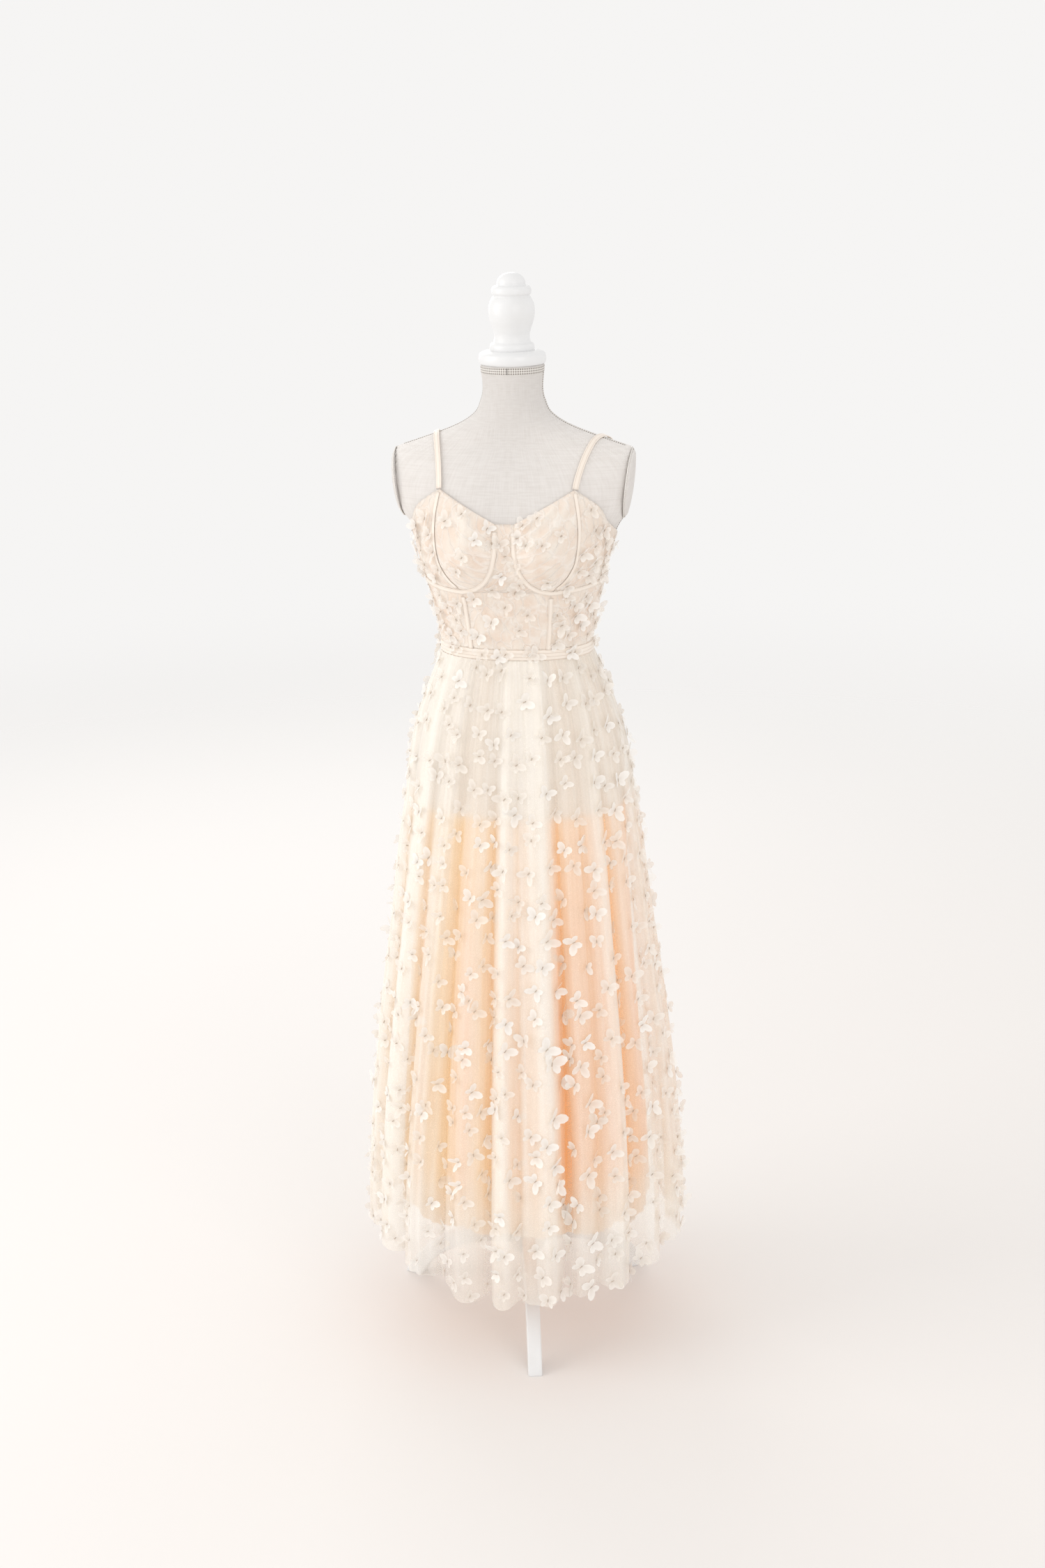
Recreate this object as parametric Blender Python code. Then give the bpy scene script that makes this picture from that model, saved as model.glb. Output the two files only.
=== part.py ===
"""A tulle maxi dress with sewn-on butterflies, worn by a limbless dress form on a tripod.

Metres, +Z up. The dress faces -Y and the wearer's left is +X. The origin is on the floor,
under the pole. Angles round the body are in degrees from the front, 0 at -Y and 90 at +X.
"""

import math

import bpy
import numpy as np
from mathutils import Vector
from mathutils.bvhtree import BVHTree

# Heights above the floor
TOTAL_HEIGHT = 1.715
FINIAL_HEIGHT = 0.115
CAP_HEIGHT = 0.017
WAIST_HEIGHT = 1.147
WAISTBAND_HEIGHT = 0.016
FORM_BOTTOM = 0.903
TULLE_HEM = 0.122
LINING_HEM = 0.208

# Gaps and thicknesses of the cloth
SEAM_GAP = 0.0003
FORM_CLEARANCE = 0.0022
BODICE_THICK = 0.0018
WAISTBAND_THICK = 0.0034
LINING_THICK = 0.0011
TULLE_THICK = 0.0012
CASING_THICK = 0.0014
CASING_WIDTH = 0.0075
STRAP_THICK = 0.0016
STRAP_WIDTH = 0.0095
STRAP_LIFT = 0.0027

# Dress form
RING_FULLNESS = 2.2
BUST_X, BUST_Z, BUST_RISE = 0.072, 1.316, 0.026
BUST_SPREAD_X, BUST_SPREAD_Z, BUST_VALLEY = 0.045, 0.046, 0.020
ARM_PLANE_X, ARM_PLANE_Z, ARM_PLANE_SLOPE = 0.172, 1.40, 0.12
ARM_PLANE_FOOT = 1.30
ARM_PLATE_HALF_DEPTH, ARM_PLATE_HALF_HEIGHT, ARM_PLATE_THICK = 0.047, 0.050, 0.008
CAP_RADIUS = 0.050

# Stand
POLE_RADIUS = 0.0125
HUB_RADIUS, HUB_BOTTOM, HUB_TOP = 0.028, 0.100, 0.165
LEG_TOP_REACH, LEG_TOP_RISE = 0.237, 0.137
LEG_UNDER_REACH, LEG_UNDER_RISE = 0.205, 0.109
LEG_THICK = 0.023
LEG_CURVE_POWER = 0.75
LEG_ANGLES = {"front": 11.0, "right": -109.0, "left": 131.0}

# Bodice landmarks on the wearer's left side, from the centre line
GORE_HALF_TOP, GORE_TOP_Z = 0.015, 1.358
STRAP_X, STRAP_Z = 0.101, 1.406
BONING_WAIST_X = 0.058
BACK_STRAP_ANGLE = 148
CUP_FULLNESS = 0.004
BODICE_ROWS, CENTRE_COLUMNS = 7, 9
CUP_ROWS, CUP_COLUMNS = 8, 7

# A butterfly, flat and as sewn on
BUTTERFLY_SPAN, BUTTERFLY_LENGTH, BUTTERFLY_THICK = 0.032, 0.024, 0.0012
BUTTERFLY_WING_TILT = 32
BUTTERFLY_SINK = 0.0005
BUTTERFLY_LEVELS = 4
GOLDEN_SHARE = 0.618034

# Sections of the dress form: height, half width, depth to the front, depth to the back
FORM_COLUMNS = ("z", "half_width", "front", "back")
FORM_SECTIONS = (
    (0.903, 0.158, 0.100, 0.110),
    (0.935, 0.163, 0.105, 0.116),
    (0.985, 0.161, 0.104, 0.114),
    (1.035, 0.150, 0.098, 0.104),
    (1.090, 0.130, 0.088, 0.090),
    (1.147, 0.114, 0.080, 0.080),
    (1.200, 0.120, 0.084, 0.083),
    (1.260, 0.134, 0.091, 0.090),
    (1.310, 0.146, 0.096, 0.096),
    (1.345, 0.160, 0.093, 0.100),
    (1.380, 0.188, 0.086, 0.101),
    (1.415, 0.205, 0.077, 0.097),
    (1.440, 0.200, 0.066, 0.086),
    (1.456, 0.184, 0.056, 0.074),
    (1.468, 0.150, 0.050, 0.064),
    (1.480, 0.115, 0.047, 0.057),
    (1.493, 0.083, 0.045, 0.052),
    (1.508, 0.060, 0.044, 0.048),
    (1.530, 0.048, 0.044, 0.046),
    (1.582, 0.047, 0.046, 0.046),
)

FORM_EXTRA_RINGS = (1.175, 1.220, 1.240, 1.278, 1.295, 1.3275, 1.3625, 1.3975)

# Crests of the tulle skirt: height, half width, front, back, depth of its grooves
TULLE_COLUMNS = ("z", "half_width", "front", "back", "groove")
TULLE_SECTIONS = (
    (1.147, 0.1192, 0.0852, 0.0852, 0.0004),
    (1.120, 0.1300, 0.0935, 0.0940, 0.0020),
    (1.085, 0.1440, 0.1030, 0.1050, 0.0028),
    (1.030, 0.1630, 0.1140, 0.1210, 0.0035),
    (0.980, 0.1740, 0.1210, 0.1300, 0.0042),
    (0.930, 0.1805, 0.1290, 0.1370, 0.0070),
    (0.850, 0.1940, 0.1420, 0.1480, 0.0140),
    (0.720, 0.2110, 0.1610, 0.1660, 0.0240),
    (0.560, 0.2340, 0.1830, 0.1880, 0.0330),
    (0.400, 0.2520, 0.2040, 0.2080, 0.0400),
    (0.250, 0.2630, 0.2190, 0.2230, 0.0450),
    (0.122, 0.2660, 0.2270, 0.2300, 0.0480),
)

# Folds of one tulle panel: share of the panel's half turn, depth of the groove that
# follows as a share of the section's groove, and sideways lean of the crest at the hem
FOLD_COLUMNS = ("width", "groove_after", "lean")
TULLE_FRONT_FOLDS = (
    (22, 0.45, 0.000),
    (18, 0.50, 0.004),
    (19, 0.70, -0.004),
    (22, 0.85, 0.005),
    (14, 0.40, -0.003),
    (17, 1.00, 0.009),
    (15, 0.50, -0.004),
    (14, 0.95, 0.004),
    (19, 0.55, -0.004),
    (20, 0.60, 0.000),
)
TULLE_BACK_FOLDS = (
    (20, 0.55, 0.003),
    (17, 0.80, -0.004),
    (19, 0.50, 0.004),
    (15, 0.95, 0.006),
    (18, 0.60, -0.003),
    (21, 0.85, 0.004),
    (14, 0.45, -0.004),
    (18, 0.90, 0.005),
    (17, 0.60, -0.003),
    (21, 0.60, 0.000),
)
FOLD_STEPS = (-1.0, -0.70, -0.24, 0.24, 0.70)
FOLD_POWER = 2.4
HEM_DIP = 0.007

LINING_SECTIONS = (
    (1.147, 0.1165, 0.0825, 0.0825, 0.0002),
    (1.090, 0.1330, 0.0912, 0.0932, 0.0003),
    (1.035, 0.1535, 0.1015, 0.1075, 0.0004),
    (0.985, 0.1645, 0.1075, 0.1175, 0.0004),
    (0.935, 0.1665, 0.1085, 0.1195, 0.0005),
    (0.903, 0.1672, 0.1120, 0.1210, 0.0015),
    (0.850, 0.1690, 0.1170, 0.1230, 0.0035),
    (0.700, 0.1780, 0.1280, 0.1330, 0.0070),
    (0.500, 0.1920, 0.1430, 0.1480, 0.0110),
    (0.350, 0.2030, 0.1560, 0.1600, 0.0140),
    (0.208, 0.2100, 0.1640, 0.1680, 0.0160),
)
LINING_FOLDS = (
    (27, 0.8, 0.002),
    (33, 1.0, -0.003),
    (26, 0.7, 0.002),
    (35, 1.0, 0.003),
    (28, 0.8, -0.002),
    (31, 0.8, 0.000),
)

# Turned profiles: height above the piece's own foot, radius
FINIAL_PROFILE = (
    (0.000, 0.0320),
    (0.009, 0.0330),
    (0.013, 0.0310),
    (0.018, 0.0275),
    (0.025, 0.0265),
    (0.034, 0.0290),
    (0.047, 0.0332),
    (0.060, 0.0345),
    (0.072, 0.0325),
    (0.080, 0.0283),
    (0.083, 0.0275),
    (0.086, 0.0292),
    (0.093, 0.0292),
    (0.098, 0.0262),
    (0.099, 0.0215),
    (0.107, 0.0185),
    (0.113, 0.0100),
)
CAP_PROFILE = ((0.000, 0.0480), (0.003, 0.0500), (0.013, 0.0500), (0.017, 0.0475))
HUB_PROFILE = ((0.000, 0.0240), (0.006, 0.0280), (0.050, 0.0280), (0.065, 0.0180))

COLOURS = {
    "tulle": ((0.95, 0.90, 0.84), 0.85),
    "bodice_tulle": ((0.94, 0.87, 0.80), 0.85),
    "lining": ((0.96, 0.76, 0.57), 0.80),
    "tape": ((0.95, 0.88, 0.80), 0.70),
    "form_jersey": ((0.88, 0.85, 0.81), 0.90),
    "white_paint": ((0.93, 0.93, 0.92), 0.45),
}


def clear_scene():
    for found in list(bpy.data.objects):
        bpy.data.objects.remove(found)


def material(name):
    """The finish of that name, made once."""
    if name in bpy.data.materials:
        return bpy.data.materials[name]
    colour, roughness = COLOURS[name]
    made = bpy.data.materials.new(name)
    made.use_nodes = True
    shader = made.node_tree.nodes["Principled BSDF"]
    shader.inputs["Base Color"].default_value = (*colour, 1)
    shader.inputs["Roughness"].default_value = roughness
    return made


def mesh_object(name, points, faces, finish):
    """A named object from points and faces, shaded smooth below a sharp angle."""
    mesh = bpy.data.meshes.new(name)
    mesh.from_pydata([tuple(p) for p in points], [], faces)
    mesh.validate()
    mesh.shade_smooth()
    mesh.set_sharp_from_angle(angle=math.radians(50))
    mesh.materials.append(material(finish))
    made = bpy.data.objects.new(name, mesh)
    bpy.context.collection.objects.link(made)
    return made


def column(table, names, wanted, z):
    """A table's column at the heights z, on a smooth curve through its rows."""
    rows = np.array(table, float)
    rows = rows[np.argsort(rows[:, 0])]
    heights, values = rows[:, 0], rows[:, names.index(wanted)]
    slopes = np.gradient(values, heights)
    z = np.clip(z, heights[0], heights[-1])
    i = np.clip(np.searchsorted(heights, z) - 1, 0, len(heights) - 2)
    step = heights[i + 1] - heights[i]
    s = (z - heights[i]) / step
    start = (1 + 2 * s) * (1 - s) ** 2 * values[i] + s * (1 - s) ** 2 * step * slopes[i]
    end = s * s * (3 - 2 * s) * values[i + 1] + s * s * (s - 1) * step * slopes[i + 1]
    return start + end


def ring_point(angle, half_width, front, back):
    """x and y on a level ring, an oval a little fuller than an ellipse."""
    across, ahead = np.sin(np.radians(angle)), np.cos(np.radians(angle))
    depth = np.where(ahead > 0, front, back)
    total = np.abs(across / half_width) ** RING_FULLNESS
    total = total + np.abs(ahead / depth) ** RING_FULLNESS
    reach = total ** (-1 / RING_FULLNESS)
    return reach * across, -reach * ahead


def form_point(angle, z):
    """The dress form's surface at angles in degrees and heights: an oval and a bust."""
    angle, z = np.broadcast_arrays(angle, np.asarray(z, float))
    sizes = [column(FORM_SECTIONS, FORM_COLUMNS, name, z) for name in FORM_COLUMNS[1:]]
    x, y = ring_point(angle, *sizes)
    ahead = -y / sizes[1]
    across = (np.hypot(x, BUST_VALLEY) - BUST_X) / BUST_SPREAD_X
    upward = (z - BUST_Z) / BUST_SPREAD_Z
    bust = BUST_RISE * np.exp(-(across**2 + upward**2) / 2) * np.clip(ahead, 0, 1) ** 0.5
    plane = ARM_PLANE_X + (z - ARM_PLANE_Z) * ARM_PLANE_SLOPE
    plane = np.where(z > ARM_PLANE_FOOT, plane, 1)
    return np.stack([np.clip(x, -plane, plane), y - bust, z], axis=-1)


def form_normal(angle, z, turn=0.5, rise=0.003):
    """The direction out of the dress form, from points a little to each side."""
    around = form_point(angle + turn, z) - form_point(angle - turn, z)
    up = form_point(angle, z + rise) - form_point(angle, z - rise)
    out = np.cross(around, up)
    return out / np.linalg.norm(out, axis=-1, keepdims=True)


def on_form(angle, z, lift):
    """A point that far off the dress form's surface."""
    return form_point(angle, z) + np.asarray(lift)[..., None] * form_normal(angle, z)


def angle_at(x, z):
    """The angle at which the dress form's section has that x, on its front."""
    half_width = column(FORM_SECTIONS, FORM_COLUMNS, "half_width", z)
    front = column(FORM_SECTIONS, FORM_COLUMNS, "front", z)
    share = np.clip(np.abs(x) / half_width, 0, 1) ** RING_FULLNESS
    return np.degrees(np.arctan2(x, front * (1 - share) ** (1 / RING_FULLNESS)))


def wall(name, outer, inner, finish, wrap=False):
    """A closed wall between two grids of points, with a rim along each open edge."""
    rows, columns = outer.shape[:2]
    points = np.concatenate([outer.reshape(-1, 3), inner.reshape(-1, 3)])
    at = np.arange(rows * columns).reshape(rows, columns)
    inside = at + rows * columns
    faces = []
    for i in range(rows - 1):
        for j in range(columns if wrap else columns - 1):
            k = (j + 1) % columns
            faces.append((at[i, j], at[i, k], at[i + 1, k], at[i + 1, j]))
            faces.append((inside[i, j], inside[i + 1, j], inside[i + 1, k], inside[i, k]))
    for j in range(columns if wrap else columns - 1):
        k = (j + 1) % columns
        faces.append((inside[0, j], inside[0, k], at[0, k], at[0, j]))
        faces.append((at[-1, j], at[-1, k], inside[-1, k], inside[-1, j]))
    if not wrap:
        for i in range(rows - 1):
            faces.append((at[i, 0], at[i + 1, 0], inside[i + 1, 0], inside[i, 0]))
            faces.append((inside[i, -1], inside[i + 1, -1], at[i + 1, -1], at[i, -1]))
    halves = [half for a, b, c, d in faces for half in ((a, b, c), (a, c, d))]
    made = mesh_object(name, points, [tuple(map(int, half)) for half in halves], finish)
    if volume(made) < 0:
        made.data.flip_normals()
    return made


def volume(piece):
    """Six times the signed volume, to see whether the faces point out."""
    piece.data.calc_loop_triangles()
    points = [v.co for v in piece.data.vertices]
    return sum(
        points[a].dot(points[b].cross(points[c]))
        for a, b, c in (t.vertices for t in piece.data.loop_triangles)
    )


def turned(name, profile, foot, segments, finish):
    """A solid of revolution about the pole, closed by a point at each end."""
    turns = np.radians(np.arange(segments) * 360 / segments)
    points = [(0, 0, foot + profile[0][0])]
    for height, radius in profile:
        for turn in turns:
            points.append(
                (radius * math.sin(turn), -radius * math.cos(turn), foot + height)
            )
    points.append((0, 0, foot + profile[-1][0]))
    ring = [range(1 + i * segments, 1 + (i + 1) * segments) for i in range(len(profile))]
    faces = []
    for j in range(segments):
        k = (j + 1) % segments
        faces.append((0, ring[0][k], ring[0][j]))
        faces.append((len(points) - 1, ring[-1][j], ring[-1][k]))
        for low, high in zip(ring, ring[1:]):
            faces.append((low[j], low[k], high[k], high[j]))
    return mesh_object(name, points, faces, finish)


def butterfly(centre, out, up):
    """Points and faces of one butterfly: two four-sided wings that rise from its body."""
    out, up = Vector(out).normalized(), Vector(up)
    up = (up - out * up.dot(out)).normalized()
    side = up.cross(out)
    tilt = math.radians(BUTTERFLY_WING_TILT)
    body, upper, lower = BUTTERFLY_LENGTH * 0.22, BUTTERFLY_LENGTH / 2, -BUTTERFLY_LENGTH / 2
    top, under = [], []
    for across, along in ((0, body), (0, -body), (1, upper), (0.8, lower), (-1, upper), (-0.8, lower)):
        reach = across * BUTTERFLY_SPAN / 2
        spot = Vector(centre) + up * along + side * reach * math.cos(tilt)
        spot += out * (abs(reach) * math.sin(tilt) - BUTTERFLY_SINK)
        top.append(spot + out * BUTTERFLY_THICK)
        under.append(spot)
    outline = (0, 2, 3, 1, 5, 4)
    faces = [(0, 1, 3, 2), (0, 4, 5, 1), (8, 9, 7, 6), (7, 11, 10, 6)]
    for here, there in zip(outline, outline[1:] + outline[:1]):
        faces.append((here, there, there + 6, here + 6))
    return [tuple(p) for p in top + under], faces


def sew_butterflies(panel, places):
    """Joins butterflies to a panel. places has a point, a way out and a way up for each."""
    points, faces = [], []
    for centre, out, up in places:
        more_points, more_faces = butterfly(centre, out, up)
        faces += [tuple(i + len(points) for i in face) for face in more_faces]
        points += more_points
    guide = mesh_object(panel.name + "_butterflies", points, faces, "tulle")
    if volume(guide) < 0:
        guide.data.flip_normals()
    guide.hide_render = True
    guide.display_type = "WIRE"
    join = panel.modifiers.new("butterflies", "BOOLEAN")
    join.operation = "UNION"
    join.object = guide


def through(points, count, shares=None, unit=(1.0, 1.0)):
    """A smooth curve through a few points, as count points or at given shares."""
    points = np.array(points, float)
    steps = np.linalg.norm(np.diff(points, axis=0) * unit, axis=1)
    run = np.concatenate([[0], np.cumsum(steps)])
    run /= run[-1]
    at = np.linspace(0, 1, count) if shares is None else np.asarray(shares)
    if len(points) == 2:
        return points[0] + at[:, None] * (points[1] - points[0])
    table = np.column_stack([run, points])
    names = ("run", "x", "z")
    return np.column_stack([column(table, names, "x", at), column(table, names, "z", at)])


def patch(bottom, top, left, right):
    """A grid between four edges given as (angle, z) points, corners shared."""
    u = np.linspace(0, 1, len(bottom))[None, :, None]
    v = np.linspace(0, 1, len(left))[:, None, None]
    across = (1 - v) * bottom[None] + v * top[None]
    along = (1 - u) * left[:, None] + u * right[:, None]
    corners = (1 - v) * ((1 - u) * bottom[0] + u * bottom[-1])
    corners = corners + v * ((1 - u) * top[0] + u * top[-1])
    return across + along - corners


def drawn_in(grid):
    """The patch made half a seam gap smaller all round, measured on the form."""
    angle, z = grid[..., 0], grid[..., 1]
    degree = np.linalg.norm(form_point(angle + 0.5, z) - form_point(angle - 0.5, z), axis=-1)
    drawn, every = grid.copy(), slice(None)
    for edge, inside in (((0, every), (1, every)), ((-1, every), (-2, every)),
                         ((every, 0), (every, 1)), ((every, -1), (every, -2))):
        metres = np.column_stack([degree[edge], np.ones(len(grid[edge]))])
        run = np.gradient(grid[edge], axis=0) * metres
        inward = (grid[inside] - grid[edge]) * metres
        move = np.column_stack([-run[:, 1], run[:, 0]])
        move /= np.linalg.norm(move, axis=1, keepdims=True)
        move *= np.sign((move * inward).sum())
        drawn[edge] += move * 0.6 * SEAM_GAP / metres
    return drawn


def cloth_on_form(name, grid, side=1, fullness=0.0, butterflies=()):
    """A bodice panel over the dress form. side is 1 for the wearer's left, -1 for the right."""
    grid = drawn_in(grid)
    rows, columns = grid.shape[:2]
    swell = np.sin(np.pi * np.linspace(0, 1, columns))[None, :] ** 2
    swell = fullness * swell * np.sin(np.pi * np.linspace(0, 1, rows))[:, None] ** 2
    angle, z = side * grid[..., 0], grid[..., 1]
    inner = on_form(angle, z, FORM_CLEARANCE + swell)
    outer = on_form(angle, z, FORM_CLEARANCE + BODICE_THICK + swell)
    panel = wall(name, outer, inner, "bodice_tulle")
    places = []
    for u, v, spin in butterflies:
        i, j = v * (rows - 1), u * (columns - 1)
        low_i, low_j = min(int(i), rows - 2), min(int(j), columns - 2)
        fi, fj = i - low_i, j - low_j
        quad = outer[low_i : low_i + 2, low_j : low_j + 2]
        centre = (1 - fi) * ((1 - fj) * quad[0, 0] + fj * quad[0, 1])
        centre = centre + fi * ((1 - fj) * quad[1, 0] + fj * quad[1, 1])
        at_angle = (1 - fj) * angle[low_i, low_j] + fj * angle[low_i, low_j + 1]
        at_z = (1 - fi) * z[low_i, low_j] + fi * z[low_i + 1, low_j]
        turn = math.radians(spin)
        out = form_normal(at_angle, at_z)
        level = np.cross((0, 0, 1), out)
        places.append((centre, out, np.array((0, 0, math.cos(turn))) + math.sin(turn) * level))
    if places:
        sew_butterflies(panel, places)
    return panel


def strip(name, middle, normals, width, low, high, finish):
    """A flat tape along a line on the surface, between two lifts off that surface."""
    run = np.gradient(middle, axis=0)
    run /= np.linalg.norm(run, axis=1, keepdims=True)
    side = np.cross(normals, run)
    side /= np.linalg.norm(side, axis=1, keepdims=True)
    edges = [middle - side * width / 2, middle, middle + side * width / 2]
    outer = np.stack([edge + normals * high for edge in edges])
    inner = np.stack([edge + normals * low for edge in edges])
    return wall(name, outer, inner, finish)


def to_angles(curve):
    """(x, z) points on the front turned to (angle, z)."""
    return np.column_stack([angle_at(curve[:, 0], curve[:, 1]), curve[:, 1]])


# Curves of the bodice on the wearer's left, as (x, z) or (angle, z)
UNDERWIRE = (
    (GORE_HALF_TOP, 1.351),
    (0.0155, 1.318),
    (0.0225, 1.289),
    (0.034, 1.271),
    (0.050, 1.260),
    (0.066, 1.256),
)
PRINCESS = (
    (0.066, 1.256),
    (0.086, 1.273),
    (0.100, 1.296),
    (0.106, 1.326),
    (0.107, 1.364),
    (STRAP_X, STRAP_Z),
)
NECKLINE = ((GORE_HALF_TOP, GORE_TOP_Z), (0.056, 1.380), (STRAP_X, STRAP_Z))
CUP_FOOT = ((55, 1.257), (90, 1.266))
ARMHOLE = ((64, 1.384), (71, 1.358), (90, 1.330))
BACK_TOP = ((90, 1.330), (135, 1.311), (180, 1.302))
DEGREE = (0.0019, 1.0)


def side_edges(count):
    """Angle and height along the cup's lower seam and along the armhole, to the side."""
    cup_angle = float(angle_at(UNDERWIRE[-1][0], UNDERWIRE[-1][1]))
    strap_angle = float(angle_at(STRAP_X, STRAP_Z))
    seam = through(((cup_angle, UNDERWIRE[-1][1]), *CUP_FOOT), count, unit=DEGREE)
    armhole = through(((strap_angle, STRAP_Z), *ARMHOLE), count, unit=DEGREE)
    return seam, armhole


def make_cups():
    rows, columns = CUP_ROWS, CUP_COLUMNS
    under = to_angles(through(UNDERWIRE, columns))
    neck = to_angles(through(NECKLINE, columns))
    princess = to_angles(through(PRINCESS, rows))
    gore = to_angles(through((UNDERWIRE[0], NECKLINE[0]), rows))
    seam, armhole = side_edges(columns)
    side_seam = through((CUP_FOOT[-1], ARMHOLE[-1]), rows)
    inner_cup = patch(under, neck, gore, princess)
    outer_cup = patch(seam, armhole, princess, side_seam)
    for label, side in (("left", 1), ("right", -1)):
        cloth_on_form(
            f"cup_inner_{label}", inner_cup, side, CUP_FULLNESS,
            ((0.66, 0.50, 25),),
        )
        cloth_on_form(
            f"cup_outer_{label}", outer_cup, side, CUP_FULLNESS,
            ((0.30, 0.45, -15), (0.74, 0.48, 30)),
        )


def make_lower_bodice():
    rows = BODICE_ROWS
    foot = WAIST_HEIGHT + WAISTBAND_HEIGHT + SEAM_GAP
    seam, _ = side_edges(CUP_COLUMNS)
    boning = to_angles(through(((BONING_WAIST_X, foot), UNDERWIRE[-1]), rows))
    waist = np.column_stack([np.linspace(boning[0, 0], 90, len(seam)), np.full(len(seam), foot)])
    side_seam = through(((90, foot), CUP_FOOT[-1]), rows)
    side_panel = patch(waist, seam, boning, side_seam)
    back_foot = np.column_stack([np.linspace(90, 180, 10), np.full(10, foot)])
    back_top = through(BACK_TOP, 10, unit=DEGREE)
    back_side = through(((90, foot), BACK_TOP[0]), rows)
    back_seam = through(((180, foot), BACK_TOP[-1]), rows)
    back_panel = patch(back_foot, back_top, back_side, back_seam)
    for label, side in (("left", 1), ("right", -1)):
        cloth_on_form(
            f"bodice_side_{label}", side_panel, side, 0.0,
            ((0.34, 0.66, -20), (0.72, 0.36, 30)),
        )
        cloth_on_form(
            f"bodice_back_{label}", back_panel, side, 0.0,
            ((0.22, 0.62, 15), (0.48, 0.28, -25), (0.74, 0.66, 30)),
        )
    side_line = through(((BONING_WAIST_X, foot), UNDERWIRE[-1]), rows)[:-1]
    gore_corner = [(GORE_HALF_TOP, GORE_TOP_Z)]
    right = to_angles(np.vstack([side_line, through(UNDERWIRE, CUP_COLUMNS)[::-1], gore_corner]))
    left = right * (-1, 1)
    middle = patch(
        np.linspace(left[0], right[0], CENTRE_COLUMNS),
        np.linspace(left[-1], right[-1], CENTRE_COLUMNS), left, right,
    )
    cloth_on_form(
        "bodice_centre", middle, 1, 0.0,
        ((0.20, 0.30, 20), (0.52, 0.40, -35), (0.80, 0.16, 15)),
    )


def make_casings():
    """The tapes that hold the wires under the cups and the bones beside the centre."""
    low = FORM_CLEARANCE + BODICE_THICK + SEAM_GAP + 0.0003
    high = low + CASING_THICK
    foot = WAIST_HEIGHT + WAISTBAND_HEIGHT + 3 * SEAM_GAP
    shares = np.linspace(0.03, 1, 16)
    wire = to_angles(through(UNDERWIRE, 0, shares))
    seam, _ = side_edges(9)
    wire = np.vstack([wire, seam[1:-1]])
    top = (UNDERWIRE[-1][0], UNDERWIRE[-1][1] - CASING_WIDTH / 2 - 3 * SEAM_GAP)
    bone = to_angles(through(((BONING_WAIST_X, foot), top), 6))
    for label, side in (("left", 1), ("right", -1)):
        for kind, line in (("underwire", wire), ("boning", bone)):
            angle, z = side * line[:, 0], line[:, 1]
            strip(
                f"{kind}_casing_{label}", form_point(angle, z), form_normal(angle, z),
                CASING_WIDTH, low, high, "tape",
            )


def make_waistband():
    angle = np.arange(0, 360, 10.0)[None, :]
    z = WAIST_HEIGHT + np.array((SEAM_GAP, WAISTBAND_HEIGHT - SEAM_GAP))[:, None]
    outer = on_form(angle, z, np.full((2, 1), FORM_CLEARANCE + WAISTBAND_THICK))
    inner = on_form(angle, z, np.full((2, 1), FORM_CLEARANCE))
    wall("waistband", outer, inner, "tape", wrap=True)


def make_straps(form):
    """Straps from the cups over the shoulders to the back, laid on the form by rays."""
    form.data.calc_loop_triangles()
    tree = BVHTree.FromPolygons(
        [v.co for v in form.data.vertices],
        [tuple(t.vertices) for t in form.data.loop_triangles],
    )
    pivot_z, rays, steps = 1.34, 60, 27
    back = form_point(BACK_STRAP_ANGLE, BACK_TOP[1][1] + 0.001)
    for label, side, shoulder_x in (("left", 1, 0.143), ("right", -1, 0.124)):
        strap_angle = angle_at(side * (STRAP_X + 0.001), STRAP_Z)
        front = on_form(strap_angle, STRAP_Z + 2 * SEAM_GAP, 0.0)
        start = math.degrees(math.atan2(front[2] - pivot_z, -front[1]))
        end = 180 - math.degrees(math.atan2(back[2] + 0.0035 - pivot_z, back[1]))
        edges = []
        for offset in (-STRAP_WIDTH / 2, STRAP_WIDTH / 2):
            line = []
            for share in np.linspace(0, 1, rays):
                turn = math.radians(start + share * (end - start))
                rise = math.sin(math.pi * share) ** 1.2
                ends = (1 - share) * front[0] + share * side * back[0]
                x = ends + rise * (side * shoulder_x - ends) + offset
                out = np.array((0, -math.cos(turn), math.sin(turn)))
                line.append(surface_towards(tree, np.array((x, 0, pivot_z)), out))
            edge = evenly(taut(line), steps)
            for i, spot in enumerate(edge):
                pivot = np.array((spot[0], 0, pivot_z))
                reach = np.linalg.norm(spot - pivot)
                found = surface_towards(tree, pivot, (spot - pivot) / reach)
                if np.linalg.norm(found - pivot) > reach:
                    edge[i] = found
            edges.append(edge)
        middle = (edges[0] + edges[1]) / 2
        normals = np.cross(edges[1] - edges[0], np.gradient(middle, axis=0))
        normals /= np.linalg.norm(normals, axis=1, keepdims=True)
        normals *= np.sign((normals * (middle - (0, 0, pivot_z))).sum(axis=1, keepdims=True))
        low, high = STRAP_LIFT, STRAP_LIFT + STRAP_THICK
        outer = np.stack([edge + normals * high for edge in (edges[0], middle, edges[1])])
        inner = np.stack([edge + normals * low for edge in (edges[0], middle, edges[1])])
        wall(f"strap_{label}", outer, inner, "tape")


def surface_towards(tree, pivot, out):
    """Where the form's surface is met from outside, on the line from the pivot."""
    return np.array(tree.ray_cast(Vector(pivot + out * 0.5), Vector(-out))[0])


def taut(line):
    """The tight path over points that run from the front over the top to the back."""
    kept = []
    for spot in line:
        while len(kept) > 1:
            first, second = kept[-1] - kept[-2], spot - kept[-1]
            if first[1] * second[2] - first[2] * second[1] < 0:
                break
            kept.pop()
        kept.append(spot)
    return np.array(kept)


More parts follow.
